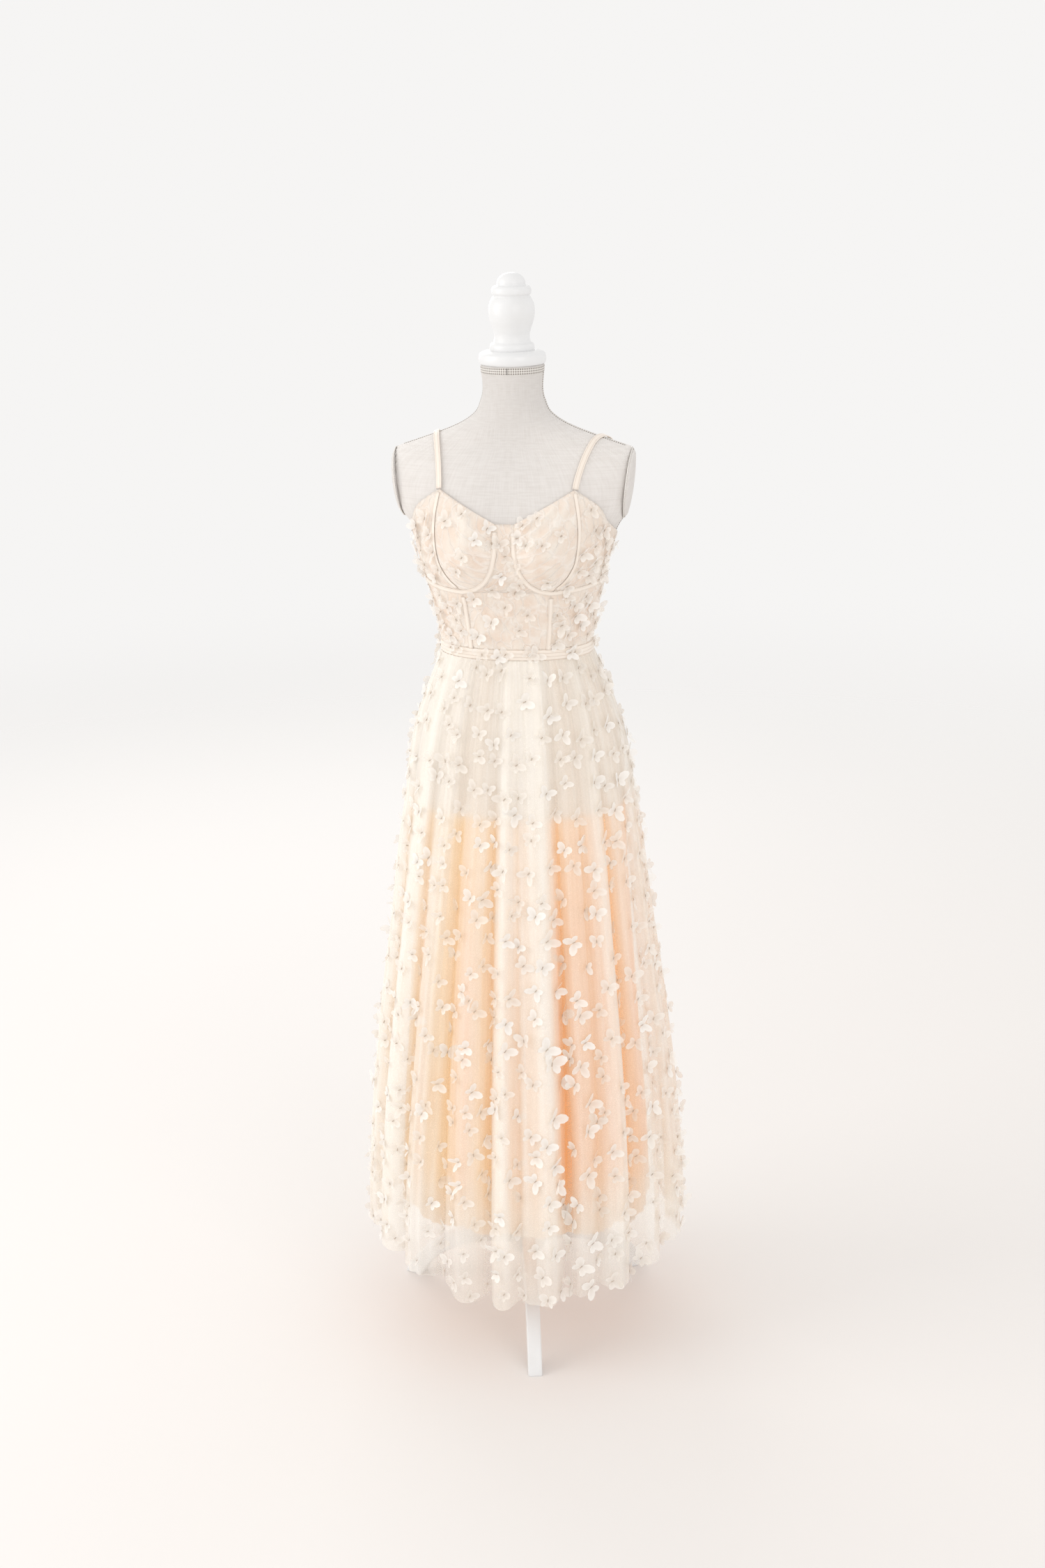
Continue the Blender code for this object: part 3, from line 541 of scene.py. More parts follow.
@dataclass
class Curve:
    """Values at rising stations, joined by cubic pieces with central-difference slopes."""

    stations: Array
    values: Array

    def at(self, where: Number) -> Array:
        """The values there; past an end they stay as at the end."""
        x = self.stations
        slopes = (np.gradient(self.values, x, axis=0) if len(x) > 2
                  else np.repeat((self.values[1:] - self.values[:1]) / (x[1] - x[0]), 2, axis=0))
        where = np.clip(where, x[0], x[-1])
        i = np.clip(np.searchsorted(x, where) - 1, 0, len(x) - 2)
        step = x[i + 1] - x[i]
        s = (where - x[i]) / step
        s, step = (v.reshape(v.shape + (1,) * (self.values.ndim - 1)) for v in (s, step))
        start = (1 + 2 * s) * (1 - s) ** 2 * self.values[i] + s * (1 - s) ** 2 * step * slopes[i]
        end = s * s * (3 - 2 * s) * self.values[i + 1] + s * s * (s - 1) * step * slopes[i + 1]
        return start + end


def table(rows: Sequence[Sequence[float]]) -> Curve:
    """A table whose first column is the height, as a curve of the others."""
    rows = np.array(sorted(rows))
    return Curve(rows[:, 0], rows[:, 1:])


def unit_vectors(vectors: Array) -> Array:
    """The vectors with their length made 1."""
    return vectors / np.maximum(np.linalg.norm(vectors, axis=-1, keepdims=True), 1e-12)


def lengths_along(points: Array, axis: int) -> Array:
    """Running length of a grid's lines along an axis, from 0."""
    steps = np.linalg.norm(np.diff(points, axis=axis), axis=-1)
    start = np.zeros_like(np.take(steps, [0], axis=axis))
    return np.concatenate([start, np.cumsum(steps, axis=axis)], axis=axis)


def grid_faces(rows: int, columns: int, wrap: bool = False) -> Array:
    """Four-sided faces of a grid, closed round the columns if wrap is set."""
    at = np.arange(rows * columns).reshape(rows, columns)
    right = np.roll(at, -1, axis=1)
    faces = np.stack([at[:-1], right[:-1], right[1:], at[1:]], axis=-1)
    return (faces if wrap else faces[:, :-1]).reshape(-1, 4)


def triangle_parts(points: Array, faces: Sequence[Sequence[int]]) -> tuple[Array, Array, Array]:
    """Corner arrays of the faces' triangles, cut from each face's first corner."""
    flat = [(f[0], f[i], f[i + 1]) for f in faces if len(f) != 4 for i in range(1, len(f) - 1)]
    fours = np.array([f for f in faces if len(f) == 4], int).reshape(-1, 4)
    parts = np.concatenate([fours[:, [0, 1, 2]], fours[:, [0, 2, 3]],
                            np.array(flat, int).reshape(-1, 3)])
    return tuple(points[parts[:, i]] for i in range(3))


@dataclass
class Shape:
    """A mesh before it is made: points, faces and what the mesh carries."""

    points: Array
    faces: list
    cloth: Optional[Array] = None
    marks: dict[str, Array] = field(default_factory=dict)

    def outwards(self) -> "Shape":
        """Turns a closed shape's faces out where its signed volume is negative."""
        a, b, c = triangle_parts(self.points, self.faces)
        if np.einsum("ij,ij->i", a, np.cross(b, c)).sum() < 0:
            self.faces = [tuple(face)[::-1] for face in self.faces]
        return self

    def area(self) -> float:
        """The area of all faces."""
        a, b, c = triangle_parts(self.points, self.faces)
        return float(np.linalg.norm(np.cross(b - a, c - a), axis=1).sum() / 2)

    def build(self, name: str, finish: type, slot: Slot,
              nodes: Sequence[str] = ()) -> bpy.types.Object:
        """Makes the object, gives it its finish, and hides the CAD nodes that it stands for.

        Args:
            name: the object's name.
            finish: the finish's class.
            slot: the record's material slot; not used.
            nodes: the CAD nodes that it stands for.

        Returns:
            The object, at the origin.
        """
        mesh = bpy.data.meshes.new(name)
        mesh.from_pydata(self.points.tolist(), [], [tuple(face) for face in self.faces])
        if self.cloth is not None:
            corners = np.empty(len(mesh.loops), np.int32)
            mesh.loops.foreach_get("vertex_index", corners)
            layer = mesh.uv_layers.new(name="Cloth")
            layer.data.foreach_set("uv", self.cloth[corners].astype(np.float32).ravel())
        for key, values in self.marks.items():
            kept = mesh.attributes.new(key, "FLOAT", "POINT")
            kept.data.foreach_set("value", values.astype(np.float32).ravel())
        mesh.materials.append(FINISHES[finish])
        mesh.shade_smooth()
        made = bpy.data.objects.new(name, mesh)
        bpy.context.scene.collection.objects.link(made)
        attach(made, BODY)
        if nodes:
            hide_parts(*nodes)
        log.info("%s: %d faces", name, len(self.faces))
        return made


def open_sheet(points: Array, cloth: Array, marks: dict[str, Array]) -> Shape:
    """A grid as a single layer of cloth; rows run down, columns to the wearer's left."""
    rows, columns = points.shape[:2]
    faces = grid_faces(rows, columns)[:, ::-1].tolist()
    return Shape(points.reshape(-1, 3), faces, cloth.reshape(-1, 2),
                 {key: value.reshape(-1) for key, value in marks.items()})


def walled(outer: Array, inner: Array, cloth: Array, marks: dict[str, Array]) -> Shape:
    """A closed wall between two grids, its rim following the grid's edge."""
    rows, columns = outer.shape[:2]
    at = np.arange(rows * columns).reshape(rows, columns)
    ring = np.concatenate([at[0], at[1:, -1], at[-1, -2::-1], at[-2:0:-1, 0]])
    following, deep = np.roll(ring, -1), rows * columns
    rim = np.stack([ring, ring + deep, following + deep, following], axis=-1)
    face = grid_faces(rows, columns)
    faces = np.concatenate([face, face[:, ::-1] + deep, rim])
    points = np.concatenate([outer.reshape(-1, 3), inner.reshape(-1, 3)])
    twice = {key: np.tile(value.reshape(-1), 2) for key, value in marks.items()}
    return Shape(points, faces.tolist(), np.tile(cloth.reshape(-1, 2), (2, 1)), twice).outwards()


def spun(profile: Any, centre: Sequence[float] = (0, 0, 0), across: Sequence[float] = (1, 0, 0),
         along: Sequence[float] = (0, 1, 0), out: Sequence[float] = (0, 0, 1),
         segments: int = 96) -> Shape:
    """A profile of (radius, height) spun round an axis and closed by a point at each end.

    Args:
        profile: radii and heights from one end to the other.
        centre: the axis's foot.
        across: the way and size of the radius at the start of the turn.
        along: the same a quarter turn on.
        out: the way and size of the height.
        segments: faces in a turn.

    Returns:
        The closed shape: centre + radius * (cos * across + sin * along) + height * out.
    """
    profile = np.asarray(profile, float)
    turn = np.linspace(0, 2 * math.pi, segments, endpoint=False)
    ring = np.cos(turn)[:, None] * np.array(across) + np.sin(turn)[:, None] * np.array(along)
    radius, height = profile[1:-1, 0], profile[1:-1, 1]
    points = np.array(centre) + radius[:, None, None] * ring + height[:, None, None] * np.array(out)
    ends = np.array(centre) + profile[[0, -1], 1][:, None] * np.array(out)
    count = len(radius) * segments
    first = np.arange(segments)
    following = np.roll(first, -1)
    last = count - segments
    caps = [(count, b, a) for a, b in zip(first, following)]
    caps += [(count + 1, a + last, b + last) for a, b in zip(first, following)]
    faces = grid_faces(len(radius), segments, wrap=True).tolist() + caps
    return Shape(np.concatenate([points.reshape(-1, 3), ends]), faces).outwards()


def rounded_section(width: float, depth: float, corner: float, steps: int = 4) -> Array:
    """A rectangle with round corners, as (across, out) points."""
    turn = np.linspace(0, math.pi / 2, steps)
    arc = np.stack([np.cos(turn), np.sin(turn)], axis=-1) * corner
    parts = []
    for quarter, (x, y) in enumerate(((1, 1), (-1, 1), (-1, -1), (1, -1))):
        c, s = math.cos(quarter * math.pi / 2), math.sin(quarter * math.pi / 2)
        spun_arc = arc @ np.array([[c, s], [-s, c]])
        parts.append(spun_arc + (x * (width / 2 - corner), y * (depth / 2 - corner)))
    return np.concatenate(parts)


def carried(path: Array, out: Array, section: Array, closed: bool = False,
            taper: Optional[Array] = None) -> Shape:
    """A section carried along a path: path + across * x + out * y.

    Args:
        path: n points.
        out: n directions away from what the path lies on.
        section: (across, out) points of the closed section.
        closed: whether the path's ends meet.
        taper: a scale for each point of the path.

    Returns:
        The closed shape, with length along the path and the across distance as cloth.
    """
    if closed:
        run = np.roll(path, -1, axis=0) - np.roll(path, 1, axis=0)
    else:
        run = np.gradient(path, axis=0)
    run = unit_vectors(run)
    out = unit_vectors(out - run * (out * run).sum(axis=1, keepdims=True))
    across = np.cross(run, out)
    size = np.ones(len(path)) if taper is None else taper
    points = (path[:, None] + size[:, None, None] * (
        across[:, None] * section[None, :, :1] + out[:, None] * section[None, :, 1:]))
    n, k = len(path), len(section)
    lengths = lengths_along(path[:, None], 0)[:, 0]
    cloth = np.stack(np.broadcast_arrays(lengths[:, None], section[None, :, 0]), axis=-1)
    if closed:
        faces = grid_faces(n, k, wrap=True).tolist()
        low, high = np.arange(k), np.arange(k) + (n - 1) * k
        faces += np.stack([high, np.roll(high, -1), np.roll(low, -1), low], axis=-1).tolist()
    else:
        faces = grid_faces(n, k, wrap=True).tolist()
        faces += [tuple(range(k - 1, -1, -1)), tuple(range((n - 1) * k, n * k))]
    return Shape(points.reshape(-1, 3), faces, cloth.reshape(-1, 2)).outwards()


def waves(angle: Array, z: Array, seed: int, count: int, around: float, along: float) -> Array:
    """Uneven soft wrinkles between -1 and 1: a mean of sines with seeded ways and phases."""
    rng = np.random.default_rng(seed)
    total = 0.0
    for _ in range(count):
        a, b = rng.uniform(0.4, 1.0) * around, rng.uniform(-1.0, 1.0) * along
        total = total + np.sin(a * np.radians(angle) + b * z + rng.uniform(0, 2 * math.pi))
    return total / count


# ---- Dress form


@dataclass
class FormBody:
    """The dress form's figure: fuller ovals with a bust, cut flat at the armholes."""

    sections: Curve = field(default_factory=lambda: table((
        (0.903, 0.158, 0.100, 0.110), (0.935, 0.163, 0.105, 0.116),
        (0.985, 0.161, 0.104, 0.114), (1.035, 0.150, 0.098, 0.104),
        (1.090, 0.130, 0.088, 0.090), (1.147, 0.114, 0.080, 0.080),
        (1.200, 0.120, 0.084, 0.083), (1.260, 0.134, 0.091, 0.090),
        (1.310, 0.146, 0.096, 0.096), (1.345, 0.160, 0.093, 0.100),
        (1.380, 0.188, 0.086, 0.101), (1.415, 0.205, 0.077, 0.097),
        (1.440, 0.200, 0.066, 0.086), (1.456, 0.184, 0.056, 0.074),
        (1.468, 0.150, 0.050, 0.064), (1.480, 0.115, 0.047, 0.057),
        (1.493, 0.083, 0.045, 0.052), (1.508, 0.060, 0.044, 0.048),
        (1.530, 0.048, 0.044, 0.046), (1.582, 0.047, 0.046, 0.046))))
    fullness: float = 2.2
    bust: tuple[float, float, float] = (0.072, 1.316, 0.026)
    bust_spread: tuple[float, float] = (0.045, 0.046)
    bust_valley: float = 0.020
    arm_x: float = 0.172
    arm_z: float = 1.40
    arm_slope: float = 0.12
    arm_foot: float = 1.30

    def ring(self, angle: Number, half: Number, front: Number, back: Number) -> Array:
        """x and y on a level ring, (|x/half|^p + |y/depth|^p) = 1 with p the fullness."""
        across, ahead = np.sin(np.radians(angle)), np.cos(np.radians(angle))
        depth = np.where(ahead > 0, front, back)
        total = np.abs(across / half) ** self.fullness + np.abs(ahead / depth) ** self.fullness
        reach = total ** (-1 / self.fullness)
        return np.stack([reach * across, -reach * ahead], axis=-1)

    def point(self, angle: Number, z: Number) -> Array:
        """The form's surface: the ring, the bust's two soft humps and the armhole cuts."""
        angle, z = np.broadcast_arrays(np.asarray(angle, float), np.asarray(z, float))
        half, front, back = np.moveaxis(self.sections.at(z), -1, 0)
        x, y = np.moveaxis(self.ring(angle, half, front, back), -1, 0)
        bust_x, bust_z, rise = self.bust
        across = (np.hypot(x, self.bust_valley) - bust_x) / self.bust_spread[0]
        upward = (z - bust_z) / self.bust_spread[1]
        hump = rise * np.exp(-(across**2 + upward**2) / 2) * np.clip(-y / front, 0, 1) ** 0.5
        plane = self.arm_x + (z - self.arm_z) * self.arm_slope
        plane = np.where(z > self.arm_foot, plane, 1.0)
        return np.stack([np.clip(x, -plane, plane), y - hump, z], axis=-1)

    def normal(self, angle: Number, z: Number) -> Array:
        """The way out, from points half a degree and 3 mm to each side."""
        angle, z = np.broadcast_arrays(np.asarray(angle, float), np.asarray(z, float))
        around = self.point(angle + 0.5, z) - self.point(angle - 0.5, z)
        up = self.point(angle, z + 0.003) - self.point(angle, z - 0.003)
        return unit_vectors(np.cross(around, up))

    def lifted(self, angle: Number, z: Number, lift: Number) -> Array:
        """A point that far off the surface."""
        return self.point(angle, z) + np.asarray(lift)[..., None] * self.normal(angle, z)

    def angle_at(self, x: Number, z: Number) -> Array:
        """The angle at which the front of the level ring has that x."""
        half, front, _ = np.moveaxis(self.sections.at(np.asarray(z, float)), -1, 0)
        share = np.clip(np.abs(x) / half, 0, 1) ** self.fullness
        return np.degrees(np.arctan2(x, front * (1 - share) ** (1 / self.fullness)))


@dataclass
class DressForm:
    """The form's cover with its braided seams, the arm plates, the neck cap and the finial."""

    body: FormBody
    plate: tuple[float, float, float] = (0.047, 0.050, 0.008)
    cap_foot: float = 1.5823
    finial_foot: float = 1.600

    def cover(self) -> None:
        """The torso: rings of the figure from the hips to the neck, closed at both ends."""
        z = np.unique(np.concatenate([np.linspace(0.903, 1.30, 60), np.linspace(1.30, 1.582, 110)]))
        angle = np.linspace(0, 360, 180, endpoint=False)
        points = self.body.point(angle[None, :], z[:, None])
        rows, columns = points.shape[:2]
        ends = np.array([(0, 0, z[0]), (0, 0, z[-1])])
        count, ring = rows * columns, np.arange(columns)
        after, last = np.roll(ring, -1), rows * columns - columns
        faces = grid_faces(rows, columns, wrap=True).tolist()
        faces += [(count, b, a) for a, b in zip(ring, after)]
        faces += [(count + 1, a + last, b + last) for a, b in zip(ring, after)]
        cloth = np.stack(np.broadcast_arrays(np.abs(angle - 180)[None, :] * 0.0019, z[:, None]), -1)
        cloth = np.concatenate([cloth.reshape(-1, 2), np.zeros((2, 2))])
        shape = Shape(np.concatenate([points.reshape(-1, 3), ends]), faces, cloth).outwards()
        shape.build("linen_torso", LinenFinish, Slot.JERSEY, ["form_torso"])

    def plate_frame(self, side: Side) -> tuple[Array, Array, Array]:
        """Centre, way up and way out of an arm plate."""
        tilt = math.atan(self.body.arm_slope)
        up = np.array((side.value * math.sin(tilt), 0, math.cos(tilt)))
        out = np.array((side.value * math.cos(tilt), 0, -math.sin(tilt)))
        centre = np.array((side.value * (self.body.arm_x + 0.006 * self.body.arm_slope), -0.004,
                           self.body.arm_z + 0.006))
        return centre, up, out

    def arm_plates(self) -> None:
        """Domed oval plates: the dome falls with the third power of the share of the radius."""
        depth, height, thick = self.plate
        for side in Side:
            centre, up, out = self.plate_frame(side)
            share = np.concatenate([np.linspace(0, 0.94, 14), [0.97, 0.99, 1.0, 1.0, 0.0]])
            lift = thick * (1 - 0.45 * share**3)
            lift[-5:] = thick * np.array((0.52, 0.42, 0.25, 0.0, 0.0))
            shape = spun(np.column_stack([share, lift + 0.0003]), centre, (0, depth, 0),
                         up * height, out)
            shape.cloth = shape.points[:, 1:3]
            label = side.name.lower()
            shape.build(f"arm_plate_{label}", LinenFinish, Slot.JERSEY, [f"form_arm_plate_{label}"])

    def seams(self) -> None:
        """Braid over the neck's edge, the shoulder and side seams and round the arm plates."""
        band = rounded_section(0.0062, 0.0015, 0.0006, 3)
        around = np.linspace(0, 360, 120, endpoint=False)
        path, out = self.body.point(around, 1.5755), self.body.normal(around, 1.5755)
        carried(path, out, rounded_section(0.0095, 0.0014, 0.0006, 3), closed=True).build(
            "neck_braid", BraidFinish, Slot.JERSEY)
        for side in Side:
            label, angle = side.name.lower(), 90.0 * side.value
            for kind, heights in (("shoulder", np.linspace(1.571, 1.462, 60)),
                                  ("side", np.linspace(1.352, 1.27, 30))):
                path, out = self.body.point(angle, heights), self.body.normal(angle, heights)
                carried(path, out, band).build(
                    f"{kind}_braid_{label}", BraidFinish, Slot.JERSEY)
            centre, up, way = self.plate_frame(side)
            turns = np.linspace(0, 2 * math.pi, 120, endpoint=False)[:, None]
            rim = centre + way * 0.0014 + up * 0.0510 * np.sin(turns)
            rim = rim + np.array((0, 0.0480, 0)) * np.cos(turns)
            carried(rim, np.tile(way, (120, 1)), rounded_section(0.0038, 0.0015, 0.0006, 3),
                    closed=True).build(
                f"armhole_braid_{label}", BraidFinish, Slot.JERSEY)

    def cap_and_finial(self) -> None:
        """The turned neck cap and finial: smooth profiles spun round the pole's line."""
        cap = fair(((0.0001, 0.0), (0.0470, 0.0), (0.0490, 0.0012), (0.0500, 0.0036),
                    (0.0500, 0.0130), (0.0492, 0.0158), (0.0470, 0.0170), (0.0001, 0.0174)), 60)
        cap[[0, -1], 0] = 0
        spun(cap, (0, 0, self.cap_foot)).build("neck_cap", PaintFinish, Slot.PAINT,
                                               ["form_neck_cap"])
        profile = fair((
            (0.0, 0.0), (0.0315, 0.0), (0.0330, 0.0025), (0.0332, 0.0085), (0.0318, 0.0118),
            (0.0284, 0.0140), (0.0270, 0.0180), (0.0264, 0.0245), (0.0288, 0.0340),
            (0.0330, 0.0470), (0.0345, 0.0595), (0.0328, 0.0715), (0.0288, 0.0792),
            (0.0273, 0.0812), (0.0276, 0.0826), (0.0292, 0.0845), (0.0297, 0.0885),
            (0.0290, 0.0925), (0.0266, 0.0955), (0.0222, 0.0966), (0.0213, 0.0980),
            (0.0212, 0.1010), (0.0190, 0.1068), (0.0140, 0.1115), (0.0070, 0.1143),
            (0.0, 0.1150)), 150)
        profile[:, 0] = np.maximum(profile[:, 0], 0)
        spun(profile, (0, 0, self.finial_foot)).build("neck_finial", PaintFinish, Slot.PAINT,
                                                      ["form_finial"])

    def build(self) -> None:
        """Makes every piece of the form."""
        self.cover()
        self.arm_plates()
        self.seams()
        self.cap_and_finial()


@dataclass
class TripodStand:
    """The white wooden stand: three arched legs in a turned hub, and the pole."""

    hub: tuple[float, float] = (0.100, 0.165)
    hub_radius: float = 0.028
    pole_radius: float = 0.0125
    pole_top: float = 0.9027
    leg_thick: float = 0.023
    top: tuple[float, float] = (0.237, 0.137)
    under: tuple[float, float] = (0.205, 0.109)
    power: float = 0.75
    angles: dict[str, float] = field(
        default_factory=lambda: {"front": 11.0, "right": -109.0, "left": 131.0})

    def leg(self, label: str, angle: float) -> None:
        """A board arch: rise * (1 - (r / reach)^2)^power above and below, corners rounded."""
        share = np.sin(np.linspace(0, math.pi / 2, 48))
        start = self.hub_radius + 0.0003
        lines = []
        for reach, rise in (self.under, self.top):
            radius = start + share * (reach - start)
            height = rise * np.clip(1 - (radius / reach) ** 2, 0, 1) ** self.power
            lines.append(np.column_stack([radius, height]))
        low, high = lines
        along = np.array((math.sin(math.radians(angle)), -math.cos(math.radians(angle)), 0))
        across = np.array((-along[1], along[0], 0))
        section = rounded_section(1.0, 1.0, 0.13, 5)
        place = low[:, None] + (section[None, :, 1:] + 0.5) * (high - low)[:, None]
        points = (place[..., :1] * along + place[..., 1:] * np.array((0, 0, 1))
                  + section[None, :, :1] * self.leg_thick * across)
        n, k = points.shape[:2]
        faces = grid_faces(n, k, wrap=True).tolist()
        faces += [tuple(range(k - 1, -1, -1)), tuple(range((n - 1) * k, n * k))]
        Shape(points.reshape(-1, 3), faces).outwards().build(
            f"tripod_leg_{label}", PaintFinish, Slot.PAINT, [f"stand_leg_{label}"])

    def build(self) -> None:
        """Makes the legs, the hub and the pole."""
        for label, angle in self.angles.items():
            self.leg(label, angle)
        low, high = self.hub
        hub = fair(((0.0, 0.0), (0.0215, 0.0), (0.0255, 0.0018), (0.0278, 0.0062),
                    (0.0280, 0.0200), (0.0280, 0.0460), (0.0272, 0.0520), (0.0230, 0.0585),
                    (0.0195, 0.0630), (0.0180, high - low), (0.0, high - low)), 70)
        hub[:, 0] = np.maximum(hub[:, 0], 0)
        spun(hub, (0, 0, low)).build("tripod_hub", PaintFinish, Slot.PAINT, ["stand_hub"])
        radius, top = self.pole_radius, self.pole_top - high
        pole = [(0, 0), (radius - 0.001, 0), (radius, 0.001)]
        pole += [(radius, h) for h in np.linspace(0.02, top - 0.001, 12)] + [(0, top - 0.0005)]
        spun(pole, (0, 0, high + 0.0003), segments=48).build(
            "tripod_pole", PaintFinish, Slot.PAINT, ["stand_pole"])


# ---- Butterflies


@dataclass
class Perches:
    """Where butterflies sit: points, ways out of the cloth and ways up along it."""

    points: Array
    out: Array
    up: Array

    @staticmethod
    def on_grid(grid: Array, rows: Array, columns: Array) -> "Perches":
        """Perches at fractional places of a grid whose rows run down, columns to the left.

        Args:
            grid: rows x columns x 3 points.
            rows: fractional row numbers.
            columns: fractional column numbers.

        Returns:
            The perches, with the way out by cross products of the grid's lines.
        """
        around, down = np.gradient(grid, axis=1), np.gradient(grid, axis=0)
        out = unit_vectors(np.cross(down, around))
        i = np.clip(rows.astype(int), 0, grid.shape[0] - 2)
        j = np.clip(columns.astype(int), 0, grid.shape[1] - 2)
        u, v = (columns - j)[:, None], (rows - i)[:, None]

        def read(field_: Array) -> Array:
            """The field at the places, between its four neighbours."""
            top = (1 - u) * field_[i, j] + u * field_[i, j + 1]
            low = (1 - u) * field_[i + 1, j] + u * field_[i + 1, j + 1]
            return (1 - v) * top + v * low

        return Perches(read(grid), unit_vectors(read(out)), unit_vectors(-read(down)))

    def keep(self, chosen: Array) -> "Perches":
        """Only the chosen perches."""
        return Perches(self.points[chosen], self.out[chosen], self.up[chosen])


@dataclass
class Flock:
    """Many butterflies as one mesh, and the threads that tie them as another."""

    name: str
    perches: Perches
    seed: int
    span: float = 0.0180
    bright: Optional[Array] = None
    ring_steps: int = 4
    outline: tuple[tuple[float, float], ...] = (
        (-68, 0.42), (-52, 0.66), (-36, 0.70), (-18, 0.62), (-4, 0.50), (10, 0.74),
        (26, 0.98), (38, 1.04), (52, 0.90), (68, 0.60), (80, 0.30))

    def wing(self) -> tuple[Array, Array, Array]:
        """One side's two wings as a single fan, its reach read from the outline's table.

        Returns:
            Flat (across, along) points, the share of the reach, and the faces.
        """
        angle, rim = np.array(self.outline).T
        share = np.linspace(0.06, 1.0, self.ring_steps)[:, None]
        angle = np.radians(angle)
        reach = share * rim
        points = np.stack([reach * np.cos(angle), reach * np.sin(angle)], axis=-1)
        return (points.reshape(-1, 2), np.broadcast_to(share, reach.shape).reshape(-1),
                grid_faces(self.ring_steps, len(angle)))

    def build(self) -> list[bpy.types.Object]:
        """Places a pattern of four wings and a tie at every perch.

        A wing point at (across, along) goes to centre + up * along + side * |across| * cos(tilt)
        + out * (|across| * sin(tilt) + curl * across^2), turned and sized for each butterfly.

        Returns:
            The wings' and the threads' objects.
        """
        rng, count = np.random.default_rng(self.seed), len(self.perches.points)
        half, half_reach, half_faces = self.wing()
        flat = np.concatenate([half, half * (-1, 1)])
        faces = np.concatenate([half_faces, half_faces[:, ::-1] + len(half)])
        reach = np.tile(half_reach, 2)

        turn = rng.normal(0.65, 0.35, count) + np.where(rng.random(count) < 0.2, math.pi, 0)
        size = self.span * rng.uniform(0.80, 1.12, count)
        fresh = rng.random(count) ** 2.5
        if self.bright is not None:
            size = size * (1 + 0.28 * self.bright)
            fresh = np.clip(fresh + self.bright * 0.8, 0, 1)
        up = self.perches.up
        side = np.cross(up, self.perches.out)
        body = np.cos(turn)[:, None] * up + np.sin(turn)[:, None] * side
        side = np.cross(body, self.perches.out)
        tilt = np.radians(rng.uniform(4, 34, (count, 2)) + rng.random((count, 1)) ** 4 * 30)
        curl = rng.uniform(-4.0, 9.0, (count, 2))
        which = (flat[:, 0] < 0).astype(int)
        across = np.abs(flat[:, 0])[None, :] * size[:, None]
        along = flat[:, 1][None, :] * size[:, None]
        lean, bend = tilt[:, which], curl[:, which]
        sideways = across * np.cos(lean) * np.where(which == 1, -1, 1)
        lift = across * np.sin(lean) + bend * across**2 + 0.0006
        lift = np.maximum(lift, 0.0004)
        points = (self.perches.points[:, None] + body[:, None] * along[..., None]
                  + side[:, None] * sideways[..., None]
                  + self.perches.out[:, None] * lift[..., None])
        shift = (np.arange(count) * len(flat))[:, None, None]
        shape = Shape(points.reshape(-1, 3), (faces[None] + shift).reshape(-1, 4).tolist())
        vein = np.arctan2(flat[:, 1], np.abs(flat[:, 0]) + 1e-6)
        shape.marks = {"reach": np.tile(reach, count), "vein": np.tile(vein, count),
                       "fresh": np.repeat(fresh, len(flat))}
        wings = shape.build(f"{self.name}_wings", OrganzaFinish, Slot.TULLE)
        return [wings, self.ties(body, side, size)]

    def ties(self, body: Array, side: Array, size: Array) -> bpy.types.Object:
        """Short round stitches over each body, thin at both ends.

        Args:
            body: the butterflies' lengthwise ways.
            side: their sideways ways.
            size: their half spans.

        Returns:
            The threads' object.
        """
        count = len(body)
        turn = np.linspace(0, 2 * math.pi, 6, endpoint=False)
        ring = np.stack([np.cos(turn), np.sin(turn)], axis=-1)
        stations = np.array(((-0.14, 0.2), (-0.11, 1.0), (0.11, 1.0), (0.14, 0.2)))
        radius = 0.00055 * stations[:, 1][:, None, None] * ring[None]
        along = np.broadcast_to(stations[:, 0][:, None], radius.shape[:2])
        local = np.concatenate([radius, along[..., None]], axis=-1).reshape(-1, 3)
        points = (self.perches.points[:, None] + side[:, None] * local[None, :, :1]
                  + self.perches.out[:, None] * (local[None, :, 1:2] + 0.0011)
                  + body[:, None] * local[None, :, 2:] * size[:, None, None])
        face = grid_faces(4, 6, wrap=True)
        caps = np.array(((5, 4, 3, 2), (5, 2, 1, 0), (18, 19, 20, 21), (18, 21, 22, 23)))
        faces = np.concatenate([face, caps])
        shift = (np.arange(count) * len(local))[:, None, None]
        shape = Shape(points.reshape(-1, 3), (faces[None] + shift).reshape(-1, 4).tolist())
        return shape.outwards().build(f"{self.name}_ties", ThreadFinish, Slot.TULLE)


# ---- Skirt


